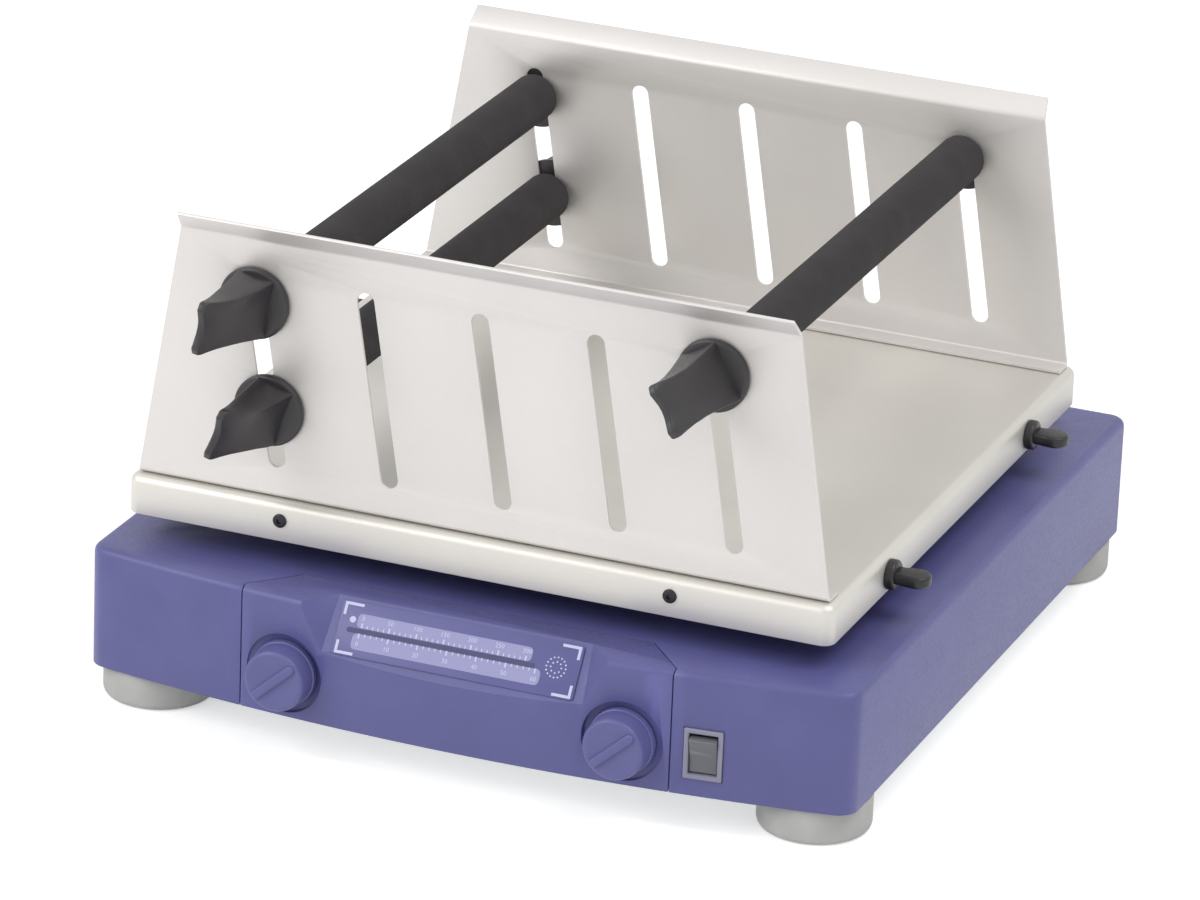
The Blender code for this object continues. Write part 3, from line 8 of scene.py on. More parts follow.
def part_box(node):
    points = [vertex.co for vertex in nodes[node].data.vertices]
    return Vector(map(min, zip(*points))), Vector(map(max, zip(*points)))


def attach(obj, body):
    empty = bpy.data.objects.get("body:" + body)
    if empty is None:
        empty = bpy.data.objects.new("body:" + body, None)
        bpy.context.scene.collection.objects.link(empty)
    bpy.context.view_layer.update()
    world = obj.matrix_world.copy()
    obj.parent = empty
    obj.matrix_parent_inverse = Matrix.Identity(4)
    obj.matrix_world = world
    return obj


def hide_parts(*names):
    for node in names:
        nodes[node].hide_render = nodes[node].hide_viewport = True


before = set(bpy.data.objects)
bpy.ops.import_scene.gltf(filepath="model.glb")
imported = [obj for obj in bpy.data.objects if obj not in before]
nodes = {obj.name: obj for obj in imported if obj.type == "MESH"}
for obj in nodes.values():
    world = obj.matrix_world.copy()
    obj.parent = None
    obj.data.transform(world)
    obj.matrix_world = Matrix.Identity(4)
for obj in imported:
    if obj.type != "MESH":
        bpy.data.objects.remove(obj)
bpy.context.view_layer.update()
mm = 0.001
tiny = 0.00002
overrun = 4 * mm  # how far a cutter reaches past what it cuts
leftRight = (("left", -1), ("right", 1))
frontRear = (("front", -1), ("rear", 1))

# The housing's middle lies here, and the table's is further forward
caseShift = 4.5 * mm
planShift = 4.58344 * mm
tableForward = 4 * mm
tableY = planShift - tableForward
caseBodies = ("base", "power_rocker", "speed_knob", "timer_knob")


def useOnly(*pieces):
    bpy.ops.object.select_all(action="DESELECT")
    for piece in pieces:
        piece.select_set(True)
    bpy.context.view_layer.objects.active = pieces[0]


def settle(piece):
    useOnly(piece)
    bpy.ops.object.transform_apply(location=True, rotation=True, scale=True)
    return piece


def named(name):
    piece = bpy.context.object
    piece.name = name
    piece.data.name = name
    return settle(piece)


def openFor(piece, kind, test):
    useOnly(piece)
    bpy.ops.object.mode_set(mode="EDIT")
    pick(piece, kind, test)


def pick(piece, kind, test):
    bpy.ops.mesh.select_mode(type=kind)
    bpy.ops.mesh.select_all(action="DESELECT")
    form = bmesh.from_edit_mesh(piece.data)
    items = {"VERT": form.verts, "EDGE": form.edges, "FACE": form.faces}[kind]
    for item in items:
        if test(item):
            item.select_set(True)
    form.select_flush_mode()
    bmesh.update_edit_mesh(piece.data)


def done():
    bpy.ops.object.mode_set(mode="OBJECT")


def everything(item):
    return True


def faceOut(piece):
    openFor(piece, "FACE", everything)
    bpy.ops.mesh.normals_make_consistent(inside=False)
    done()
    return piece


def mergeClose(piece, distance=tiny):
    openFor(piece, "VERT", everything)
    bpy.ops.mesh.remove_doubles(threshold=distance)
    done()
    return piece


def useModifier(piece, kind, **settings):
    modifier = piece.modifiers.new(kind.lower(), kind)
    for key, value in settings.items():
        setattr(modifier, key, value)
    useOnly(piece)
    bpy.ops.object.modifier_apply(modifier=modifier.name)
    return piece


def cutWith(piece, *cutters, operation="DIFFERENCE"):
    for cutter in cutters:
        useModifier(piece, "BOOLEAN", operation=operation, solver="EXACT", object=cutter)
        bpy.data.objects.remove(cutter)
    return piece


def soften(piece, width, segments=2, angle=40):
    return useModifier(
        piece,
        "BEVEL",
        width=width,
        segments=segments,
        limit_method="ANGLE",
        angle_limit=math.radians(angle),
        use_clamp_overlap=True,
        harden_normals=False,
    )


def smooth(piece, angle=32):
    useOnly(piece)
    bpy.ops.object.shade_smooth_by_angle(angle=math.radians(angle))
    return piece


def twin(piece, name):
    other = piece.copy()
    other.data = piece.data.copy()
    other.name = name
    other.data.name = name
    bpy.context.scene.collection.objects.link(other)
    return other


def place(piece, location, turn=(0, 0, 0)):
    piece.location = location
    piece.rotation_euler = turn
    return settle(piece)


def block(name, low, high):
    middle = (Vector(low) + Vector(high)) / 2
    bpy.ops.mesh.primitive_cube_add(size=1, location=middle, scale=Vector(high) - Vector(low))
    return named(name)


def turned(name, profile, sides=64, bored=False):
    # Rings of radius and height, each pulled out of the one before along Z
    radius, height = profile[0]
    bpy.ops.mesh.primitive_circle_add(
        vertices=sides, radius=radius, fill_type="NGON", location=(0, 0, height)
    )
    piece = named(name)
    openFor(piece, "FACE", everything)
    for before, here in zip(profile, profile[1:]):
        bpy.ops.mesh.extrude_region_move(
            TRANSFORM_OT_translate={"value": (0, 0, here[1] - before[1])}
        )
        share = here[0] / before[0]
        bpy.ops.transform.resize(value=(share, share, 1), center_override=(0, 0, here[1]))
    if bored:
        pick(piece, "FACE", lambda face: len(face.verts) == sides)
        bpy.ops.mesh.delete(type="ONLY_FACE")
        pick(piece, "EDGE", lambda edge: edge.is_boundary)
        bpy.ops.mesh.bridge_edge_loops()
    done()
    return faceOut(piece)


def plate(name, points, low, high):
    # A flat shape with these corners, pulled up from low to high
    bpy.ops.mesh.primitive_circle_add(
        vertices=len(points), radius=1, fill_type="NGON", location=(0, 0, low)
    )
    piece = named(name)
    moveVerts(piece, lambda co, index: Vector((points[index][0], points[index][1], low)) - co)
    openFor(piece, "FACE", everything)
    bpy.ops.mesh.extrude_region_move(TRANSFORM_OT_translate={"value": (0, 0, high - low)})
    done()
    return faceOut(piece)


def moveVerts(piece, shift, test=everything):
    # Each corner that passes the test is dragged by what shift says
    useOnly(piece)
    bpy.ops.object.mode_set(mode="EDIT")
    bpy.ops.mesh.select_mode(type="VERT")
    bpy.ops.mesh.select_all(action="DESELECT")
    form = bmesh.from_edit_mesh(piece.data)
    form.verts.ensure_lookup_table()
    chosen = [vert.index for vert in form.verts if test(vert)]
    for index in chosen:
        form = bmesh.from_edit_mesh(piece.data)
        form.verts.ensure_lookup_table()
        vert = form.verts[index]
        vert.select_set(True)
        offset = shift(vert.co.copy(), index)
        bpy.ops.transform.translate(value=offset)
        form = bmesh.from_edit_mesh(piece.data)
        form.verts.ensure_lookup_table()
        form.verts[index].select_set(False)
    done()
    return piece


def rimBevel(piece, test, radius, segments):
    openFor(piece, "EDGE", test)
    bpy.ops.mesh.bevel(offset=radius, segments=segments, affect="EDGES", profile=0.5)
    done()
    return piece


def extent(edge, axis):
    return abs(edge.verts[0].co[axis] - edge.verts[1].co[axis])


def upright(edge):
    return extent(edge, 2) > tiny


def upAt(height):
    return lambda item: all(vert.co.z > height - tiny for vert in item.verts)


def rimOf(radius, base, pairs):
    # Each pair is how far inside the radius and how far above the base, in millimetres
    return [(radius - inset * mm, base + up * mm) for inset, up in pairs]


def mirrored(profile):
    return profile + [(radius, -height) for radius, height in reversed(profile)]


def finishPiece(piece, body, slot, material, *replaced):
    # Pieces are drawn round the housing's middle, so its bodies move out to where it lies
    if body in caseBodies:
        place(piece, (caseShift, 0, 0))
    piece.data.materials.clear()
    piece.data.materials.append(material)
    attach(piece, body)
    if replaced:
        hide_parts(*replaced)
    return piece


def shaderOf(material):
    return material.node_tree.nodes["Principled BSDF"]


def newMaterial(name, colour, roughness, metallic=0.0):
    material = bpy.data.materials.new(name)
    material.use_nodes = True
    shader = shaderOf(material)
    shader.inputs["Base Color"].default_value = (*colour, 1)
    shader.inputs["Roughness"].default_value = roughness
    shader.inputs["Metallic"].default_value = metallic
    return material


def addNode(material, kind, **sockets):
    node = material.node_tree.nodes.new(kind)
    for key, value in sockets.items():
        if hasattr(node, key):
            setattr(node, key, value)
        else:
            node.inputs[key].default_value = value
    return node


def join(material, source, output, target, socket):
    material.node_tree.links.new(source.outputs[output], target.inputs[socket])


def noiseOn(material, scale, detail=3.0, stretch=(1, 1, 1)):
    # Noise that stays with the piece, in the piece's own metres
    where = addNode(material, "ShaderNodeTexCoord")
    mapping = addNode(material, "ShaderNodeMapping", Scale=stretch)
    noise = addNode(material, "ShaderNodeTexNoise", Scale=scale, Detail=detail)
    join(material, where, "Object", mapping, "Vector")
    join(material, mapping, "Vector", noise, "Vector")
    return noise


def spread(material, source, output, low, high, socket, fromLow=0.3, fromHigh=0.7):
    ramp = addNode(material, "ShaderNodeMapRange")
    for key, value in (
        ("From Min", fromLow), ("From Max", fromHigh), ("To Min", low), ("To Max", high)
    ):
        ramp.inputs[key].default_value = value
    join(material, source, output, ramp, "Value")
    join(material, ramp, "Result", shaderOf(material), socket)


def shade(colour, factor):
    return [min(1, channel * factor) for channel in colour]


def mottle(material, noise, dark, light, low=0.3, high=0.7):
    ramp = addNode(material, "ShaderNodeValToRGB")
    ramp.color_ramp.elements[0].position = low
    ramp.color_ramp.elements[1].position = high
    ramp.color_ramp.elements[0].color = (*dark, 1)
    ramp.color_ramp.elements[1].color = (*light, 1)
    join(material, noise, "Fac", ramp, "Fac")
    return ramp


def colourFrom(material, source, output="Color"):
    join(material, source, output, shaderOf(material), "Base Color")


def wornEdges(material, ramp, edgeColour, low=0.53, high=0.6):
    # Convex edges, where Pointiness is high, are a little paler
    geometry = addNode(material, "ShaderNodeNewGeometry")
    mask = addNode(material, "ShaderNodeMapRange")
    mask.inputs["From Min"].default_value = low
    mask.inputs["From Max"].default_value = high
    mix = addNode(material, "ShaderNodeMix", data_type="RGBA")
    join(material, geometry, "Pointiness", mask, "Value")
    # The colour mix has its factor at 0, its two colours at 6 and 7 and its result at 2
    join(material, mask, "Result", mix, 0)
    join(material, ramp, "Color", mix, 6)
    mix.inputs[7].default_value = (*edgeColour, 1)
    colourFrom(material, mix, 2)


def bumpFrom(material, *layers):
    # Each layer is a texture, its output, a strength and a height
    before = None
    for source, output, strength, height in layers:
        bump = addNode(material, "ShaderNodeBump", Strength=strength, Distance=height)
        join(material, source, output, bump, "Height")
        if before:
            join(material, before, "Normal", bump, "Normal")
        before = bump
    join(material, before, "Normal", shaderOf(material), "Normal")


def mouldedPlastic(name, colour, roughness, grain=900, depth=0.02, lighter=1.12):
    material = newMaterial(name, colour, roughness)
    cloud = noiseOn(material, 40, 4)
    ramp = mottle(material, cloud, shade(colour, 0.94), shade(colour, 1.05))
    wornEdges(material, ramp, shade(colour, lighter))
    fine = noiseOn(material, grain, 2)
    spread(material, fine, "Fac", roughness - 0.05, roughness + 0.07, "Roughness")
    bumpFrom(material, (fine, "Fac", 0.25, depth * mm))
    return material


def brushedSheet(name, colour, roughness, stretch, scale=260, depth=0.008, metallic=1.0):
    material = newMaterial(name, colour, roughness, metallic)
    cloud = noiseOn(material, 9, 3)
    ramp = mottle(material, cloud, shade(colour, 0.95), shade(colour, 1.03))
    colourFrom(material, ramp)
    grain = noiseOn(material, scale, 4, stretch)
    spread(material, grain, "Fac", roughness - 0.07, roughness + 0.1, "Roughness")
    wave = noiseOn(material, 5, 2)
    bumpFrom(material, (wave, "Fac", 0.25, 0.6 * mm), (grain, "Fac", 0.3, depth * mm))
    return material


def foamRubber(name, colour):
    material = newMaterial(name, colour, 0.95)
    cloud = noiseOn(material, 60, 4)
    where = addNode(material, "ShaderNodeTexCoord")
    pores = addNode(material, "ShaderNodeTexVoronoi", Scale=900.0, Randomness=1.0)
    join(material, where, "Object", pores, "Vector")
    colourFrom(material, mottle(material, cloud, shade(colour, 0.9), shade(colour, 1.1)))
    shaderOf(material).inputs["Specular IOR Level"].default_value = 0.25
    bumpFrom(material, (cloud, "Fac", 0.5, 0.4 * mm), (pores, "Distance", 0.9, 0.25 * mm))
    return material


def paleRubber(name, colour, roughness):
    material = newMaterial(name, colour, roughness)
    cloud = noiseOn(material, 55, 4)
    colourFrom(material, mottle(material, cloud, shade(colour, 0.9), shade(colour, 1.06)))
    fine = noiseOn(material, 1400, 2)
    spread(material, fine, "Fac", roughness - 0.06, roughness + 0.1, "Roughness")
    bumpFrom(material, (fine, "Fac", 0.3, 0.02 * mm))
    return material


# Colour, roughness, then the grain's scale, its depth in millimetres and the pale edges' factor
caseBlue = mouldedPlastic("caseBlue", (0.110, 0.110, 0.305), 0.42, 700, 0.010, 1.25)
panelBlue = mouldedPlastic("panelBlue", (0.112, 0.112, 0.308), 0.42, 700, 0.010, 1.25)
knobBlue = mouldedPlastic("knobBlue", (0.125, 0.125, 0.325), 0.42, 900, 0.02, 1.15)
foilBlue = mouldedPlastic("foilBlue", (0.114, 0.114, 0.312), 0.36, 1500, 0.008, 1.1)
printWhite = mouldedPlastic("printWhite", (0.62, 0.62, 0.86), 0.5, 1500, 0.005, 1.0)
printPale = mouldedPlastic("printPale", (0.33, 0.33, 0.58), 0.5, 1500, 0.005, 1.0)
printDark = mouldedPlastic("printDark", (0.055, 0.055, 0.15), 0.5, 1500, 0.005, 1.0)
steelSheet = brushedSheet("steelSheet", (0.71, 0.685, 0.665), 0.50, (1, 12, 12), metallic=0.6)
traySteel = brushedSheet("traySteel", (0.71, 0.69, 0.645), 0.48, (1, 12, 12), metallic=0.6)
turnedSteel = brushedSheet("turnedSteel", (0.62, 0.62, 0.63), 0.25, (8, 1, 8), 500, 0.004)
milledAluminium = brushedSheet("milledAluminium", (0.66, 0.67, 0.68), 0.4, (1, 9, 9), 400)
zincSheet = brushedSheet("zincSheet", (0.52, 0.54, 0.55), 0.45, (1, 1, 1), 120, 0.006)
foamBlack = foamRubber("foamBlack", (0.050, 0.047, 0.048))
wingBlack = mouldedPlastic("wingBlack", (0.034, 0.031, 0.034), 0.34, 1100, 0.02, 1.5)
clampBlack = mouldedPlastic("clampBlack", (0.014, 0.013, 0.014), 0.36, 1100, 0.02, 1.5)
inletBlack = mouldedPlastic("inletBlack", (0.028, 0.028, 0.028), 0.45, 1100, 0.02, 1.3)
switchGrey = mouldedPlastic("switchGrey", (0.27, 0.27, 0.36), 0.4, 1100, 0.015, 1.3)
rockerGrey = mouldedPlastic("rockerGrey", (0.145, 0.150, 0.165), 0.34, 1100, 0.015, 1.5)
footGrey = paleRubber("footGrey", (0.52, 0.52, 0.50), 0.7)
beltRubber = paleRubber("beltRubber", (0.02, 0.02, 0.02), 0.75)
screwDark = brushedSheet("screwDark", (0.045, 0.045, 0.05), 0.45, (1, 1, 1), 800, 0.004)
motorGrey = mouldedPlastic("motorGrey", (0.16, 0.17, 0.18), 0.4, 900, 0.03)
boardGreen = mouldedPlastic("boardGreen", (0.02, 0.10, 0.045), 0.4, 1500, 0.01)
print("materials ready")

# The camera stands where the photographer stood

view = {
    "place": (1.07669 + caseShift, planShift - 2779.65 * mm, 1.27129),
    "right": (0.92480, 0.37859, 0.03756),
    "up": (-0.17213, 0.32832, 0.92875),
    "back": (0.33928, -0.86538, 0.36880),
    "lens": 207.06,
    "sensor": 36,
    "clipEnd": 30,
}
camera = bpy.data.objects.new("camera", bpy.data.cameras.new("camera"))
camera.data.lens = view["lens"]
camera.data.sensor_width = view["sensor"]
camera.data.sensor_fit = "HORIZONTAL"
camera.data.clip_end = view["clipEnd"]
bpy.context.scene.collection.objects.link(camera)
turn = Matrix((view["right"], view["up"], view["back"])).transposed().to_4x4()
camera.matrix_world = Matrix.Translation(view["place"]) @ turn
bpy.context.scene.camera = camera

# Housing

case = {
    "width": 370 * mm,
    "frontSide": planShift - 187.7 * mm,
    "rear": planShift + 187.7 * mm,
    "bow": 16.7 * mm,
    "low": 17.2 * mm,
    "high": 75 * mm,
    "wall": 3 * mm,
    "corner": 8 * mm,
    "edge": 3.6 * mm,
    "soft": 0.35 * mm,
    "steps": 48,
}


def bowAt(x):
    return case["frontSide"] - case["bow"] * (1 - (2 * x / case["width"]) ** 2)


def bowTurn(x):
    return math.atan(case["bow"] * 8 * x / case["width"] ** 2)


def caseForm(name, inset, low, high, edge=0):
    front = case["frontSide"] + inset
    rear = case["rear"] - inset
    bpy.ops.mesh.primitive_plane_add(size=1, location=(0, (front + rear) / 2, low))
    bpy.context.object.scale = (case["width"] - 2 * inset, rear - front, 1)
    form = named(name)
    openFor(form, "VERT", everything)
    bpy.ops.mesh.bevel(
        offset=max(case["corner"] - inset, case["wall"]), segments=6, affect="VERTICES"
    )
    pick(form, "EDGE", lambda e: all(v.co.y < front + tiny for v in e.verts))
    bpy.ops.mesh.subdivide(number_cuts=case["steps"] - 1)
    done()
    moveVerts(
        form,
        lambda co, index: (0, bowAt(co.x) - case["frontSide"], 0),
        lambda v: v.co.y < front + case["corner"] + tiny,
    )
    openFor(form, "FACE", everything)
    bpy.ops.mesh.extrude_region_move(TRANSFORM_OT_translate={"value": (0, 0, high - low)})
    done()
    faceOut(form)
    if edge:
        rimBevel(form, upAt(high), edge, 4)
    return form


panel = {
    "width": 207 * mm,
    "seam": 0.6 * mm,
    "tabReach": 25.2 * mm,
    "tabNarrowing": 19 * mm,
    "fieldLow": 51.2 * mm,
    "fieldLowBack": 1.2 * mm,
    "fieldTopBack": 16.9 * mm,
    "fieldLowHalf": 63 * mm,
    "fieldTopHalf": 61 * mm,
    "facetHalf": 75 * mm,
    "knobX": 81.4 * mm,
    "knobZ": 38 * mm,
    "recess": 18.75 * mm,
    "recessDepth": 2.6 * mm,
    "shaftHole": 3.6 * mm,
    "soft": 0.4 * mm,
}
frontMost = bowAt(0)
knobFaceY = bowAt(panel["knobX"])


def panelPlan(name, grow, low, high):
    half = panel["width"] / 2 + grow
    sideY = bowAt(panel["width"] / 2)
    tabHalf = half - panel["tabNarrowing"]
    points = [
        (-half, frontMost - overrun),
        (half, frontMost - overrun),
        (half, sideY + case["wall"] + panel["seam"]),
        (tabHalf, sideY + panel["tabReach"] + grow),
        (-tabHalf, sideY + panel["tabReach"] + grow),
        (-half, sideY + case["wall"] + panel["seam"]),
    ]
    return plate(name, points, low, high)


switch = {
    "x": 118.45 * mm,
    "z": 37.5 * mm,
    "width": 17.7 * mm,
    "height": 23.8 * mm,
    "depth": 16 * mm,
    "proud": 0.9 * mm,
    "bezel": 2.2 * mm,
    "pocket": 14.5 * mm,
    "gap": 0.3 * mm,
    "edge": 0.45 * mm,
}
switchPlace = (switch["x"], bowAt(switch["x"]), switch["z"])
switchTurn = (0, 0, bowTurn(switch["x"]))


def switchBlock(name, halfWidth, front, back, halfHeight):
    made = block(name, (-halfWidth, front, -halfHeight), (halfWidth, back, halfHeight))
    return place(made, switchPlace, switchTurn)


inlet = {
    "x": 120 * mm,
    "z": 45.2 * mm,
    "width": 31 * mm,
    "height": 24 * mm,
    "gap": 0.3 * mm,
    "cut": 22 * mm,
}


def inletBlock():
    halfWidth = inlet["width"] / 2 + inlet["gap"]
    halfHeight = inlet["height"] / 2 + inlet["gap"]
    return block(
        "inletHole",
        (inlet["x"] - halfWidth, case["rear"] - inlet["cut"], inlet["z"] - halfHeight),
        (inlet["x"] + halfWidth, case["rear"] + inlet["cut"], inlet["z"] + halfHeight),
    )


postHole = {"x": 58 * mm, "y": 75 * mm, "length": 40 * mm, "width": 20 * mm}


def postSlots():
    slots = []
    halfLong, halfWide = postHole["length"] / 2, postHole["width"] / 2
    low, high = case["high"] - case["wall"] - overrun, case["high"] + overrun
    for x in (-postHole["x"] - caseShift, postHole["x"] - caseShift):
        for y in (tableY - postHole["y"], tableY + postHole["y"]):
            hole = block(
                "postSlot", (x - halfLong, y - halfWide, low), (x + halfLong, y + halfWide, high)
            )
            rimBevel(hole, upright, halfWide - tiny, 8)
            slots.append(hole)
    return slots


outerForm = caseForm("outerForm", 0, case["low"], case["high"], case["edge"])
innerForm = caseForm(
    "innerForm", case["wall"], case["low"] - overrun, case["high"] - case["wall"]
)
housing = twin(outerForm, "housingShell")
cutWith(
    housing,
    twin(innerForm, "hollow"),
    panelPlan("panelSpace", panel["seam"] / 2, case["low"] - overrun, case["high"] + overrun),
    *postSlots(),
    switchBlock(
        "switchHole",
        switch["width"] / 2 + switch["gap"],
        -switch["depth"],
        switch["depth"],
        switch["height"] / 2 + switch["gap"],
    ),
    inletBlock(),
)
mergeClose(housing)
soften(housing, case["soft"], 2, 50)
smooth(housing)
finishPiece(housing, "base", "housing_blue", caseBlue, "housing")
print("housing ready")

# Control panel

fieldLow = Vector((0, frontMost + panel["fieldLowBack"], panel["fieldLow"]))
fieldTop = Vector((0, frontMost + panel["fieldTopBack"], case["high"]))
fieldUp = (fieldTop - fieldLow).normalized()
fieldOut = Vector((0, -fieldUp.z, fieldUp.y))


def slicedBlock(name, low, high, planes):
    piece = block(name, low, high)
    for point, normal in planes:
        openFor(piece, "FACE", everything)
        bpy.ops.mesh.bisect(plane_co=point, plane_no=normal, use_fill=True, clear_inner=True)
        done()
    return faceOut(piece)


def facetPlane(side):
    low = Vector((side * panel["fieldLowHalf"], fieldLow.y, fieldLow.z))
    top = Vector((side * panel["fieldTopHalf"], fieldTop.y, fieldTop.z))
    outer = Vector((side * panel["facetHalf"], bowAt(panel["facetHalf"]), case["high"]))
    normal = (top - low).cross(outer - low).normalized()
    if normal.x * side > 0:
        normal.negate()
    return low, normal


def knobCutter(name, radius, back, front, side):
    # back and front are measured out of the panel, along -Y
    made = turned(name, [(radius, back), (radius, front)], 64)
    return place(made, (side * panel["knobX"], 0, panel["knobZ"]), (math.pi / 2, 0, 0))


recessFloor = knobFaceY + panel["recessDepth"]
ahead = -frontMost + overrun
notchSide = panel["facetHalf"] + overrun
notch = slicedBlock(
    "notch",
    (-notchSide, frontMost - 2 * overrun, panel["fieldLow"] - 2 * overrun),
    (notchSide, fieldTop.y + 2 * overrun, case["high"] + overrun),
    ((fieldLow, fieldOut), facetPlane(-1), facetPlane(1)),
)
backing = slicedBlock(
    "backing",
    (-notchSide, frontMost - 2 * overrun, panel["fieldLow"] - 3 * overrun),
    (notchSide, fieldTop.y + 3 * overrun, case["high"] + overrun),
    ((fieldLow - fieldOut * case["wall"], fieldOut),),
)
panelHollow = twin(innerForm, "panelHollow")
bosses = [
    knobCutter("boss", panel["recess"] + case["wall"], -recessFloor - case["wall"], ahead, side)
    for side in (-1, 1)
]
cutWith(panelHollow, backing, *bosses)
controlPanel = panelPlan("controlPanelShell", -panel["seam"] / 2, case["low"], case["high"])
cutWith(controlPanel, twin(outerForm, "panelForm"), operation="INTERSECT")
cutWith(controlPanel, panelHollow, notch)
for side in (-1, 1):
    cutWith(
        controlPanel,
        knobCutter("recess", panel["recess"], -recessFloor, ahead, side),
        knobCutter("shaftHole", panel["shaftHole"], -recessFloor - 2 * overrun, ahead, side),
    )
mergeClose(controlPanel)
soften(controlPanel, panel["soft"], 2, 50)
smooth(controlPanel)
finishPiece(controlPanel, "base", "panel_blue", panelBlue, "control_panel")
bpy.data.objects.remove(outerForm)
bpy.data.objects.remove(innerForm)
print("control panel ready")

# Scale foil and its printed marks

foil = {
    "width": 116 * mm,
    "length": 24.91 * mm,
    "thick": 0.4 * mm,
    "corner": 1.5 * mm,
    "ink": 0.06 * mm,
    "lift": 0.3 * mm,
    "soft": 0.1 * mm,
    "bracketInset": (1.2 * mm, 0.6 * mm),
    "bracketArm": (9 * mm, 6 * mm),
    "bracketLine": 1.3 * mm,
    "rowLow": (0.07, 0.85, 0.71, 7.4 * mm),  # from, to and down, as shares, and its height
    "rowHigh": (0.075, 0.80, 0.33, 6.4 * mm),
    "divider": (0.04, 0.82, 0.52, 2.4 * mm),
    "ticks": 31,
    "labelEvery": 5,
    "longTick": (2.2 * mm, 0.38 * mm),  # its reach and half its width
    "shortTick": (1.4 * mm, 0.26 * mm),
    "digit": 3.0 * mm,
    "digitIn": 1.1 * mm,
    "dial": (0.905, 0.47, 4.6 * mm),  # its place as shares, and its radius
    "dialRings": ((1.0, 16), (0.55, 8)),
    "dot": (0.42 * mm, 0.3 * mm),  # its radius, and that of its top
    "lamp": (1.5 * mm, 1.1 * mm),
    "lampPlace": (0.055, 0.33),
}
foilMiddle = (fieldLow + fieldTop) / 2 + fieldOut * foil["lift"]
fieldFrame = Matrix.Translation(foilMiddle) @ Matrix(
    ((1, 0, 0), (0, fieldUp.y, fieldOut.y), (0, fieldUp.z, fieldOut.z))
).to_4x4()


def onField(piece):
    # From the foil's own plan, with its back at zero, to the slope of the panel
    piece.matrix_world = fieldFrame @ piece.matrix_world
    return settle(piece)


foilSheet = block(
    "scaleFoilSheet",
    (-foil["width"] / 2, -foil["length"] / 2, 0),
    (foil["width"] / 2, foil["length"] / 2, foil["thick"]),
)
rimBevel(foilSheet, upright, foil["corner"], 5)
onField(smooth(soften(foilSheet, foil["soft"], 2, 50)))
finishPiece(foilSheet, "base", "scale_foil", foilBlue, "scale_foil")


def fieldAt(shareX, shareDown):
    return (shareX - 0.5) * foil["width"], (0.5 - shareDown) * foil["length"]


def inkBar(left, right, low, high, lift=1):
    left, right = sorted((left, right))
    low, high = sorted((low, high))
    top = foil["thick"] + lift * foil["ink"]
    return block("ink", (left, low, foil["thick"] - foil["ink"]), (right, high, top))


def inkDot(sizes, x, y, lift, topLift, sides):
    radius, topRadius = sizes
    thick, ink = foil["thick"], foil["ink"]
    profile = [(radius, thick - ink), (radius, thick + lift * ink)]
    profile.append((topRadius, thick + topLift * ink))
    return place(turned("dot", profile, sides), (x, y, 0))


def joined(name, parts):
    useOnly(*parts)
    bpy.ops.object.join()
    return named(name)


def rowBounds(row):
    left, middle = fieldAt(foil[row][0], foil[row][2])
    right = fieldAt(foil[row][1], 0)[0]
    return left, right, middle, foil[row][3]


def inkRow(row, roundShare, segments):
    left, right, middle, height = rowBounds(row)
    bar = inkBar(left, right, middle - height / 2, middle + height / 2)
    return rimBevel(bar, upright, height * roundShare, segments)


onField(joined("scaleBands", [inkRow("rowLow", 0.3, 4), inkRow("rowHigh", 0.3, 4)]))
finishPiece(bpy.context.object, "base", "scale_foil", printPale)
darkLine = inkRow("divider", 1 / 3, 3)
onField(darkLine).name = "scaleDivider"
finishPiece(darkLine, "base", "scale_foil", printDark)


def digits(text, x, y, size):
    bpy.ops.object.text_add(location=(x, y, foil["thick"]))
    label = bpy.context.object
    label.data.body = text
    label.data.size = size
    label.data.align_x = "CENTER"
    label.data.align_y = "CENTER"
    label.data.resolution_u = 2
    label.data.extrude = 2 * foil["ink"]
    useOnly(label)
    bpy.ops.object.convert(target="MESH")
    return settle(bpy.context.object)


marks = []
for row, highest, inwards in (("rowLow", 60, -1), ("rowHigh", 300, 1)):
    left, right, middle, height = rowBounds(row)
    ticksAt = middle - inwards * height / 2
    for i in range(foil["ticks"]):
        x = left + (right - left) * (i + 1) / (foil["ticks"] + 1)
        long = i % foil["labelEvery"] == 0
        reach, wide = foil["longTick"] if long else foil["shortTick"]
        marks.append(inkBar(x - wide, x + wide, ticksAt, ticksAt + reach * inwards, 2))
        if long:
            value = str(round(highest * i / (foil["ticks"] - 1)))
            marks.append(digits(value, x, middle + inwards * foil["digitIn"], foil["digit"]))
for sideX in (-1, 1):
    for sideY in (-1, 1):
        cornerX = sideX * (foil["width"] / 2 - foil["bracketInset"][0])
        cornerY = sideY * (foil["length"] / 2 - foil["bracketInset"][1])
        armX = cornerX - sideX * foil["bracketArm"][0]
        armY = cornerY - sideY * foil["bracketArm"][1]
        lineX = cornerX - sideX * foil["bracketLine"]
        lineY = cornerY - sideY * foil["bracketLine"]
        arm = inkBar(cornerX, armX, cornerY, lineY, 2)
        leg = inkBar(cornerX, lineX, cornerY, armY, 2)
        marks.append(cutWith(arm, leg, operation="UNION"))
dialX, dialY = fieldAt(foil["dial"][0], foil["dial"][1])
for ring, count in foil["dialRings"]:
    for i in range(count):
        angle = 2 * math.pi * i / count
        dotX = dialX + ring * foil["dial"][2] * math.cos(angle)
        dotY = dialY + ring * foil["dial"][2] * math.sin(angle)
        marks.append(inkDot(foil["dot"], dotX, dotY, 1, 1.6, 12))
marks.append(inkDot(foil["lamp"], *fieldAt(*foil["lampPlace"]), 2, 4, 24))
onField(joined("scaleMarks", marks))
finishPiece(bpy.context.object, "base", "scale_foil", printWhite)
print("scale field ready")

# Control knobs

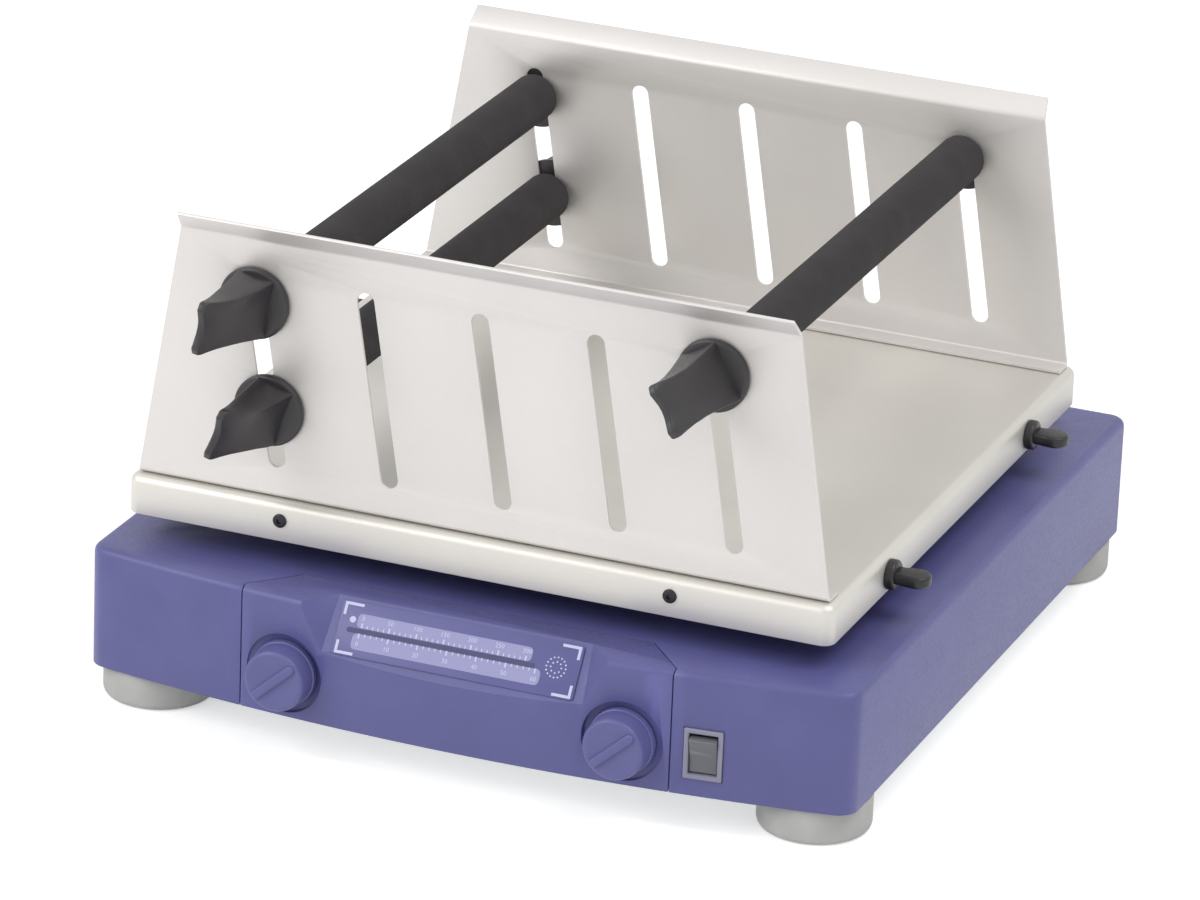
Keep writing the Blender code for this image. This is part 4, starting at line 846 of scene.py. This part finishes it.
knob = {
    "radius": 15.5 * mm,
    "back": -recessFloor + 0.6 * mm,
    "front": -knobFaceY + 11.8 * mm,
    "pointerProud": 1.2 * mm,
    "pointerHalf": 13 * mm,
    "pointerWide": 2.1 * mm,
    "pointerSunk": 1.4 * mm,
    "pointerEdge": 0.9 * mm,
    "turn": math.radians(42),
    "shaft": 3 * mm,
    "shaftLong": 4 * mm,
    "backRim": ((0.4, 0), (0, 0.4), (0.2, 3.0), (0.75, 3.3)),
    "frontRim": ((1.1, -1.7), (1.35, -0.9), (1.85, -0.3), (2.6, 0), (3.6, -0.05), (5.2, -0.35)),
    "dip": ((12, -0.5),),
}


def pointerBar():
    halfLong = knob["pointerHalf"] - knob["pointerWide"]
    points = []
    for end, start in ((1, -math.pi / 2), (-1, math.pi / 2)):
        for i in range(9):
            angle = start + math.pi * i / 8
            points.append(
                (
                    end * halfLong + knob["pointerWide"] * math.cos(angle),
                    knob["pointerWide"] * math.sin(angle),
                )
            )
    top = knob["front"] + knob["pointerProud"]
    bar = plate("pointerBar", points, knob["front"] - knob["pointerSunk"], top)
    return rimBevel(bar, upAt(top), knob["pointerEdge"], 3)


for body, side in (("speed_knob", -1), ("timer_knob", 1)):
    dial = turned(
        body.split("_")[0] + "Dial",
        [(knob["shaft"], knob["back"] - knob["shaftLong"]), (knob["shaft"], knob["back"])]
        + rimOf(knob["radius"], knob["back"], knob["backRim"])
        + rimOf(knob["radius"], knob["front"], knob["frontRim"] + knob["dip"]),
        96,
    )
    bar = place(pointerBar(), (0, 0, 0), (0, 0, knob["turn"]))
    cutWith(dial, bar, operation="UNION")
    place(dial, (side * panel["knobX"], 0, panel["knobZ"]), (math.pi / 2, 0, 0))
    smooth(mergeClose(dial), 35)
    finishPiece(dial, body, "knob_blue", knobBlue, body)
print("knobs ready")

# Power switch

switchFrame = switchBlock(
    "switchFrame",
    switch["width"] / 2,
    -switch["proud"],
    switch["depth"] - switch["proud"],
    switch["height"] / 2,
)
pocketHalf = switch["width"] / 2 - switch["bezel"]
pocketTall = switch["height"] / 2 - switch["bezel"]
cutWith(
    switchFrame,
    switchBlock("pocket", pocketHalf, -overrun, switch["pocket"] - switch["proud"], pocketTall),
)
smooth(soften(switchFrame, switch["edge"], 3, 50))
finishPiece(switchFrame, "base", "switch_frame", switchGrey, "switch_frame")

rocker = {
    "front": 4.5 * mm,
    "reach": 8.347 * mm,
    "back": 3.1 * mm,
    "dish": 1.3 * mm,
    "half": 6.35 * mm,
    "pivot": 3.2 * mm,
    "tilt": math.radians(12),
    "edge": 0.5 * mm,
    "dishSteps": 12,
}
rockerPoints = [
    (-rocker["reach"], rocker["front"]),
    (-rocker["reach"], 0),
    (-rocker["reach"] + rocker["back"], -rocker["back"]),
    (rocker["reach"] - rocker["back"], -rocker["back"]),
    (rocker["reach"], 0),
    (rocker["reach"], rocker["front"]),
]
for i in range(1, rocker["dishSteps"]):
    share = 1 - 2 * i / rocker["dishSteps"]
    rockerPoints.append(
        (share * rocker["reach"], rocker["front"] - rocker["dish"] * (1 - share**2))
    )
rockerKey = plate("rockerKey", rockerPoints, -rocker["half"], rocker["half"])
# Outline X becomes height, outline Y points out of the panel
rockerKey.matrix_world = Matrix(((0, 0, 1, 0), (0, -1, 0, 0), (1, 0, 0, 0), (0, 0, 0, 1)))
faceOut(settle(rockerKey))
soften(rockerKey, rocker["edge"], 3, 40)
pivot = Vector(switchPlace) + Matrix.Rotation(switchTurn[2], 3, "Z") @ Vector(
    (0, rocker["pivot"], 0)
)
place(rockerKey, pivot, (rocker["tilt"], 0, switchTurn[2]))
smooth(rockerKey)
finishPiece(rockerKey, "power_rocker", "rocker", rockerGrey, "power_rocker")
print("switch ready")

# Feet

foot = {
    "x": 159.7 * mm,
    "y": 164.4 * mm,
    "radius": 25.8 * mm,
    "top": 16.9 * mm,
    "bossRim": ((8.8, 0.4), (8.8, 0)),
    "topRim": ((1.2, 0), (0.35, -0.35), (0, -1.2)),
    "soleRim": ((0, 3.2), (0.35, 1.9), (1.2, 0.75), (2.4, 0.1), (3.2, 0), (8, 0)),
    "dip": ((8.6, 0.8), (21.8, 0.8)),
}
footForm = turned(
    "foot",
    rimOf(foot["radius"], foot["top"], foot["bossRim"] + foot["topRim"])
    + rimOf(foot["radius"], 0, foot["soleRim"] + foot["dip"]),
    96,
)
smooth(footForm, 40)
for depthName, back in frontRear:
    for sideName, side in leftRight:
        pad = twin(footForm, f"footPad_{depthName}_{sideName}")
        place(pad, (side * foot["x"], planShift + back * foot["y"], 0))
        finishPiece(pad, "base", "foot_grey", footGrey, f"foot_{depthName}_{sideName}")
bpy.data.objects.remove(footForm)

# Tray

tray = {"corner": 6 * mm, "bend": 4 * mm, "sheet": 1.5 * mm, "edge": 0.3 * mm}
trayLow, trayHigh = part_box("rack_tray")
trayPan = block("trayPan", trayLow, trayHigh)
rimBevel(trayPan, upright, tray["corner"], 10)
rimBevel(trayPan, upAt(trayHigh.z), tray["bend"], 7)
openFor(trayPan, "FACE", lambda f: all(v.co.z < trayLow.z + tiny for v in f.verts))
bpy.ops.mesh.delete(type="ONLY_FACE")
done()
useModifier(trayPan, "SOLIDIFY", thickness=tray["sheet"], offset=-1, use_even_offset=True)
soften(trayPan, tray["edge"], 2, 60)
smooth(trayPan, 40)
finishPiece(trayPan, "table", "stainless_sheet", traySteel, "rack_tray")

# Lip screws

lipScrew = {
    "x": 94 * mm,
    "drop": 8.5 * mm,
    "radius": 3.25 * mm,
    "proud": 1.2 * mm,
    "shank": 2 * mm,
    "long": 4 * mm,
    "gap": 0.02 * mm,
    "crownShares": ((1, 0.45), (0.93, 0.75), (0.75, 1)),
    "hex": 1.35 * mm,
    "hexFloor": 0.3 * mm,
}
for sideName, side in leftRight:
    screwRadius, proud, gap = lipScrew["radius"], lipScrew["proud"], lipScrew["gap"]
    head = turned(
        f"lipScrewHead_{sideName}",
        [(lipScrew["shank"], -lipScrew["long"]), (lipScrew["shank"], gap), (screwRadius, gap)]
        + [(screwRadius * wide, proud * high) for wide, high in lipScrew["crownShares"]],
        40,
    )
    hexProfile = [(lipScrew["hex"], lipScrew["hexFloor"]), (lipScrew["hex"], overrun)]
    cutWith(head, turned("hexKey", hexProfile, 6))
    headPlace = (side * lipScrew["x"], trayLow.y, trayHigh.z - lipScrew["drop"])
    place(head, headPlace, (math.pi / 2, 0, 0))
    smooth(head)
    finishPiece(head, "table", "lip_screw", screwDark, f"lip_screw_{sideName}")
print("tray ready")

# Rack walls

rack = {
    "face": 162.5 * mm,
    "sheet": 1.5 * mm,
    "low": 106.0 * mm,
    "bendZ": 226.9 * mm,
    "stripTop": 234.9 * mm,
    "stripOut": 7.0 * mm,
    "foot": 12 * mm,
    "bottomHalf": 166.4 * mm,
    "narrowing": 19.1 / 121.2,
    "trayZ": 105.7 * mm,
    "bend": 2.5 * mm,
    "slotPitch": 54.85 * mm,
    "slotShift": 4.7 * mm,
    "slotLowZ": 124.85 * mm,
    "slotHighZ": 206.55 * mm,
    "slotWidth": 8.3 * mm,
    "slots": 5,
    "cutHalf": 400 * mm,
    "lean": math.radians(9.5),
    "longEdge": 100 * mm,
    "edge": 0.22 * mm,
}
slotMiddleZ = (rack["slotLowZ"] + rack["slotHighZ"]) / 2


def halfWidthAt(z):
    return rack["bottomHalf"] - rack["narrowing"] * (z - rack["trayZ"])


def slotX(index, z):
    middle = rack["slotShift"] + (index - (rack["slots"] - 1) / 2) * rack["slotPitch"]
    return middle - (z - slotMiddleZ) * math.tan(rack["lean"])


def slotCutters():
    halfWide, cutHalf = rack["slotWidth"] / 2, rack["cutHalf"]
    halfLong = (rack["slotHighZ"] - rack["slotLowZ"]) / 2 / math.cos(rack["lean"]) + halfWide
    first = block("slot", (-halfWide, -cutHalf, -halfLong), (halfWide, cutHalf, halfLong))
    rimBevel(first, lambda e: extent(e, 1) > tiny, halfWide - tiny / 2, 9)
    cutters = []
    for index in range(rack["slots"]):
        cutter = twin(first, f"slot{index}")
        place(cutter, (slotX(index, slotMiddleZ), 0, slotMiddleZ), (0, -rack["lean"], 0))
        cutters.append(cutter)
    bpy.data.objects.remove(first)
    return cutters


def rackWall(name, out):
    face = tableY + out * rack["face"]
    inner = face - out * rack["foot"]
    halfLow = halfWidthAt(rack["low"])
    bpy.ops.mesh.primitive_plane_add(size=1, location=(0, (face + inner) / 2, rack["low"]))
    bpy.context.object.scale = (2 * halfLow, abs(face - inner), 1)
    wall = named(name)
    openFor(wall, "EDGE", lambda e: all(abs(v.co.y - face) < tiny for v in e.verts))
    halfBefore = halfLow
    for z, y in ((rack["bendZ"], 0), (rack["stripTop"], out * rack["stripOut"])):
        rise = z - (rack["low"] if y == 0 else rack["bendZ"])
        bpy.ops.mesh.extrude_region_move(TRANSFORM_OT_translate={"value": (0, y, rise)})
        half = halfWidthAt(z)
        bpy.ops.transform.resize(value=(half / halfBefore, 1, 1), center_override=(0, face, z))
        halfBefore = half
    stripTurn = math.atan2(rack["stripOut"], rack["stripTop"] - rack["bendZ"])
    for z, radius in (
        (rack["low"], rack["bend"]),
        (rack["bendZ"], rack["bend"] * math.tan(stripTurn / 2)),
    ):
        pick(
            wall,
            "EDGE",
            lambda e: extent(e, 0) > rack["longEdge"]
            and all(abs(v.co.z - z) < tiny and abs(v.co.y - face) < tiny for v in e.verts),
        )
        bpy.ops.mesh.bevel(offset=radius, segments=6, affect="EDGES", profile=0.5)
    done()
    faceOut(wall)
    largest = max(wall.data.polygons, key=lambda face: face.area)
    inwards = -1 if largest.normal.y * out > 0 else 1
    useModifier(wall, "SOLIDIFY", thickness=rack["sheet"], offset=inwards, use_even_offset=True)
    return wall


for name, out in frontRear:
    wall = rackWall(name + "RackWall", out)
    cutWith(wall, *slotCutters())
    mergeClose(wall)
    soften(wall, rack["edge"], 2, 60)
    smooth(wall, 40)
    finishPiece(wall, "table", "stainless_sheet", steelSheet, name + "_wall")
print("rack walls ready")

# Rollers

roller = {
    "radius": 11.5 * mm,
    "half": 159.0 * mm,
    "bore": 6.3 * mm,
    "rod": 6 * mm,
    "shoulder": 160.7 * mm,
    "stud": 3.2 * mm,
    "studEnd": 174.8 * mm,
    "boreRim": 0.5 * mm,
    "boreEdge": 0.4 * mm,
    "endRim": ((2.0, 0), (0.8, -0.25), (0.15, -0.9), (0, -2)),
    "rodEdge": 0.4 * mm,
    "studEdge": 0.6 * mm,
    "places": {
        "upper_left": (-110.305 * mm, 197.400 * mm),
        "lower_left": (-102.020 * mm, 147.889 * mm),
        "right": (108.261 * mm, 202.383 * mm),
    },
}
half, bore, shoulder = roller["half"], roller["bore"], roller["shoulder"]
sleeveEnd = [(bore, half - roller["boreEdge"]), (bore + roller["boreRim"], half)]
sleeveEnd += rimOf(roller["radius"], half, roller["endRim"])
sleeve = smooth(turned("sleeve", mirrored(sleeveEnd), 64, bored=True), 40)
rodEnd = [
    (roller["stud"] - roller["studEdge"], roller["studEnd"]),
    (roller["stud"], roller["studEnd"] - roller["studEdge"]),
    (roller["stud"], shoulder),
    (roller["rod"] - roller["rodEdge"], shoulder),
    (roller["rod"], shoulder - roller["rodEdge"]),
]
rod = smooth(turned("rod", mirrored(rodEnd), 48), 40)
for name, (x, z) in roller["places"].items():
    for form, word, slot, material, node in (
        (sleeve, "foamSleeve", "roller_foam", foamBlack, "foam_roller_"),
        (rod, "rollerRod", "turned_steel", turnedSteel, "roller_rod_"),
    ):
        copy = twin(form, f"{word}_{name}")
        place(copy, (x, tableY, z), (math.pi / 2, 0, 0))
        finishPiece(copy, f"roller_{name}", slot, material, node + name)
bpy.data.objects.remove(sleeve)
bpy.data.objects.remove(rod)
print("rollers ready")

# Wing knobs

wing = {
    "gap": 0.3 * mm,
    "disc": 16.8 * mm,
    "discHigh": 3.3 * mm,
    "backRim": ((0.3, 0), (0, 0.3)),
    "topRim": ((0, -1.2), (0.3, -0.5), (0.9, -0.1), (1.6, 0)),
    "bore": 3.5 * mm,
    "boreOut": 1 * mm,
    "boreDeep": 12.9 * mm,
    "dip": 3.4 * mm,
    "dipFrom": 26 * mm,
    "scoop": 2.6 * mm,
    "scoopEnd": 38 * mm,
    "heldBelow": 3 * mm,
    "edge": 1.1 * mm,
    "turns": {"upper_left": 172, "lower_left": 162.5, "right": 209},
    # Height, scooped side, upright side and half width of each section of the grip
    "sections": (
        (1.8, -9.0, 9.0, 14.0),
        (4.0, -8.6, 9.03, 13.8),
        (9.0, -7.6, 9.05, 13.2),
        (17.0, -5.5, 9.07, 12.1),
        (26.0, -3.0, 9.05, 11.3),
        (34.0, 0.3, 8.5, 11.5),
        (39.5, 2.6, 8.15, 12.1),
        (43.4, 4.0, 8.1, 12.6),
        (45.4, 4.8, 8.2, 12.6),
        (46.5, 5.3, 8.25, 12.1),
    ),
    # How far the end is let down between and beside its horns, from the middle outwards
    "hornShares": (1.0, 0.85, 0.45, 0.0, 0.45),
}


def gripForm():
    sections = [tuple(value * mm for value in row) for row in wing["sections"]]
    height, left, right, half = sections[0]
    last = len(wing["hornShares"]) - 1
    bpy.ops.mesh.primitive_grid_add(x_subdivisions=3, y_subdivisions=2 * last, size=1)
    bpy.context.object.location = ((left + right) / 2, 0, height)
    bpy.context.object.scale = (right - left, 2 * half, 1)
    grip = named("grip")
    openFor(grip, "FACE", everything)
    for before, here in zip(sections, sections[1:]):
        middle = (here[1] + here[2]) / 2
        shift = middle - (before[1] + before[2]) / 2
        bpy.ops.mesh.extrude_region_move(
            TRANSFORM_OT_translate={"value": (shift, 0, here[0] - before[0])}
        )
        bpy.ops.transform.resize(
            value=((here[2] - here[1]) / (before[2] - before[1]), here[3] / before[3], 1),
            center_override=(middle, 0, here[0]),
        )
    done()
    faceOut(grip)
    top, dipFrom = sections[-1][0], wing["dipFrom"]

    def drag(co, index):
        row = min(sections, key=lambda section: abs(section[0] - co.z))
        aside = abs(co.y) / row[3]
        lower = wing["hornShares"][min(last, round(aside * last))] * wing["dip"]
        drop = lower * max(0, (co.z - dipFrom) / (top - dipFrom)) ** 2
        along = min(1, co.z / wing["scoopEnd"])
        hollow = wing["scoop"] * (1 - aside**2) * math.sin(math.pi * along)
        onScoop = co.x < row[1] + tiny
        return (hollow if onScoop else 0, 0, -drop)

    moveVerts(grip, drag, lambda v: v.co.z > wing["heldBelow"])
    return soften(grip, wing["edge"], 3, 38)


def wingKnob(name):
    profile = rimOf(wing["disc"], wing["gap"], wing["backRim"])
    profile += rimOf(wing["disc"], wing["discHigh"], wing["topRim"])
    body = turned(name, profile, 72)
    cutWith(body, gripForm(), operation="UNION")
    boreProfile = [(wing["bore"], -wing["boreOut"]), (wing["bore"], wing["boreDeep"])]
    return mergeClose(cutWith(body, turned("bore", boreProfile, 32)))


knobForm = smooth(wingKnob("wingForm"), 40)
for name, (x, z) in roller["places"].items():
    for word, out in frontRear:
        node = f"wing_knob_{word}_{name}"
        copy = twin(knobForm, f"wingKnob_{word}_{name}")
        place(copy, (0, 0, 0), (0, 0, -out * math.radians(wing["turns"][name])))
        place(copy, (x, tableY + out * rack["face"], z), (-out * math.pi / 2, 0, 0))
        finishPiece(copy, node, "wing_knob_black", wingBlack, node)
bpy.data.objects.remove(knobForm)
print("wing knobs ready")

# Clamp screws in the side lips

clamp = {
    "x": 170 * mm,
    "y": 95 * mm,
    "z": 95.7 * mm,
    "gap": 0.3 * mm,
    "shank": 2.4 * mm,
    "shankLong": 5 * mm,
    "collar": 7 * mm,
    "collarHigh": 4.5 * mm,
    "backRim": ((0.3, 0), (0, 0.3)),
    "topRim": ((0, -1.2), (0.3, -0.5), (1.0, 0)),
    "waist": 5.2 * mm,
    "waistLow": 2 * mm,
    "waistHigh": 6.4 * mm,
    "lobe": 6.5 * mm,
    "lobeLow": 9.4 * mm,
    "lobeLowShare": 0.92,
    "lobeSteps": 14,
    "thick": 5.5 * mm,
    "edge": 1.5 * mm,
    "reach": 20 * mm,
}


def clampScrew(name):
    profile = [(clamp["shank"], -clamp["shankLong"]), (clamp["shank"], clamp["gap"])]
    profile += rimOf(clamp["collar"], clamp["gap"], clamp["backRim"])
    profile += rimOf(clamp["collar"], clamp["collarHigh"], clamp["topRim"])
    body = turned(name, profile, 48)
    lobe, waist, steps = clamp["lobe"], clamp["waist"], clamp["lobeSteps"]
    lowHalf = lobe * clamp["lobeLowShare"]
    points = [(-waist, clamp["waistLow"]), (waist, clamp["waistLow"])]
    points += [(waist, clamp["waistHigh"]), (lowHalf, clamp["lobeLow"])]
    for i in range(steps + 1):
        angle = i * math.pi / steps
        points.append((lobe * math.cos(angle), clamp["reach"] - lobe + lobe * math.sin(angle)))
    points += [(-lowHalf, clamp["lobeLow"]), (-waist, clamp["waistHigh"])]
    paddle = plate("paddle", points, -clamp["thick"] / 2, clamp["thick"] / 2)
    rimBevel(paddle, lambda e: extent(e, 2) < tiny, clamp["edge"], 4)
    # Its width lies along Y and its length runs out of the lip
    paddle.matrix_world = Matrix(((0, 0, 1, 0), (1, 0, 0, 0), (0, 1, 0, 0), (0, 0, 0, 1)))
    cutWith(body, settle(paddle), operation="UNION")
    return mergeClose(body)


clampForm = smooth(clampScrew("clampForm"), 40)
for sideName, side in leftRight:
    for depthName, back in frontRear:
        node = f"tray_clamp_{depthName}_{sideName}"
        copy = twin(clampForm, f"clampScrew_{depthName}_{sideName}")
        where = (side * clamp["x"], tableY + back * clamp["y"], clamp["z"])
        place(copy, where, (0, side * math.pi / 2, 0))
        finishPiece(copy, node, "clamp_black", clampBlack, node)
bpy.data.objects.remove(clampForm)
print("clamp screws ready")

# The parts that keep their own solids get their finish

carried = {
    "base_plate": zincSheet,
    "carriage_plate": zincSheet,
    "motor_bracket": zincSheet,
    "motor": motorGrey,
    "drive_belt": beltRubber,
    "control_board": boardGreen,
    "mains_inlet": inletBlack,
    "crank_spindle": turnedSteel,
    "crank_pin": turnedSteel,
    "wrist_pin": turnedSteel,
    "connecting_rod": turnedSteel,
    "guide_rod_front": turnedSteel,
    "guide_rod_rear": turnedSteel,
}
for name, node in nodes.items():
    if node.hide_render:
        continue
    material = carried.get(name, milledAluminium)
    for materialSlot in node.material_slots:
        materialSlot.material = material
print("carried parts finished")

# Floor, background and light

stageLook = {
    "white": 1.0,
    "fill": 0.55,
    "floorSize": 12,
    "floorDrop": 0.1 * mm,
    "floorColour": (0.90, 0.90, 0.90),
    "floorDark": (0.895, 0.895, 0.895),
    "floorLight": (0.905, 0.905, 0.905),
    "floorLift": 0.46,  # the light that only the camera and reflections see
    "aim": Vector((0, 0, 0.1)),
}
bpy.ops.mesh.primitive_plane_add(
    size=stageLook["floorSize"], location=(0, 0, -stageLook["floorDrop"])
)
floor = named("floor")
floorMaterial = newMaterial("floorPaper", stageLook["floorColour"], 0.9)
floorShader = shaderOf(floorMaterial)
floorShader.inputs["Specular IOR Level"].default_value = 0
floorShader.inputs["Emission Color"].default_value = (1, 1, 1, 1)
paper = noiseOn(floorMaterial, 30, 2)
paperTint = mottle(floorMaterial, paper, stageLook["floorDark"], stageLook["floorLight"])
colourFrom(floorMaterial, paperTint)


def cameraOrGlossy(owner):
    # One for a ray of the camera or of a reflection, else zero
    rays = addNode(owner, "ShaderNodeLightPath")
    either = addNode(owner, "ShaderNodeMath", operation="MAXIMUM")
    join(owner, rays, "Is Camera Ray", either, 0)
    join(owner, rays, "Is Glossy Ray", either, 1)
    return rays, either


lift = addNode(floorMaterial, "ShaderNodeMath", operation="MULTIPLY")
lift.inputs[1].default_value = stageLook["floorLift"]
join(floorMaterial, cameraOrGlossy(floorMaterial)[1], 0, lift, 0)
join(floorMaterial, lift, 0, floorShader, "Emission Strength")
floor.data.materials.append(floorMaterial)

world = bpy.data.worlds.new("studio")
bpy.context.scene.world = world
world.use_nodes = True
background = world.node_tree.nodes["Background"]
background.inputs["Color"].default_value = (1, 1, 1, 1)
rays, either = cameraOrGlossy(world)
anyClear = addNode(world, "ShaderNodeMath", operation="MAXIMUM")
join(world, either, 0, anyClear, 0)
join(world, rays, "Is Transmission Ray", anyClear, 1)
strength = addNode(world, "ShaderNodeMapRange")
strength.inputs["To Min"].default_value = stageLook["fill"]
strength.inputs["To Max"].default_value = stageLook["white"]
join(world, anyClear, 0, strength, "Value")
join(world, strength, "Result", background, "Strength")

# Place, size and power of each lamp
lamps = {
    "key": ((1.2, -0.2, 2.0), 1.2, 15.0),
    "front": ((-1.4, -1.5, 1.5), 1.4, 22.0),
}
for name, (location, size, power) in lamps.items():
    lamp = bpy.data.objects.new(name, bpy.data.lights.new(name, "AREA"))
    lamp.data.size = size
    lamp.data.energy = power
    lamp.location = location
    aim = stageLook["aim"] - Vector(location)
    lamp.rotation_euler = aim.to_track_quat("-Z", "Y").to_euler()
    bpy.context.scene.collection.objects.link(lamp)

bpy.context.scene.view_settings.view_transform = "Standard"
print("studio ready")

bpy.context.view_layer.update()
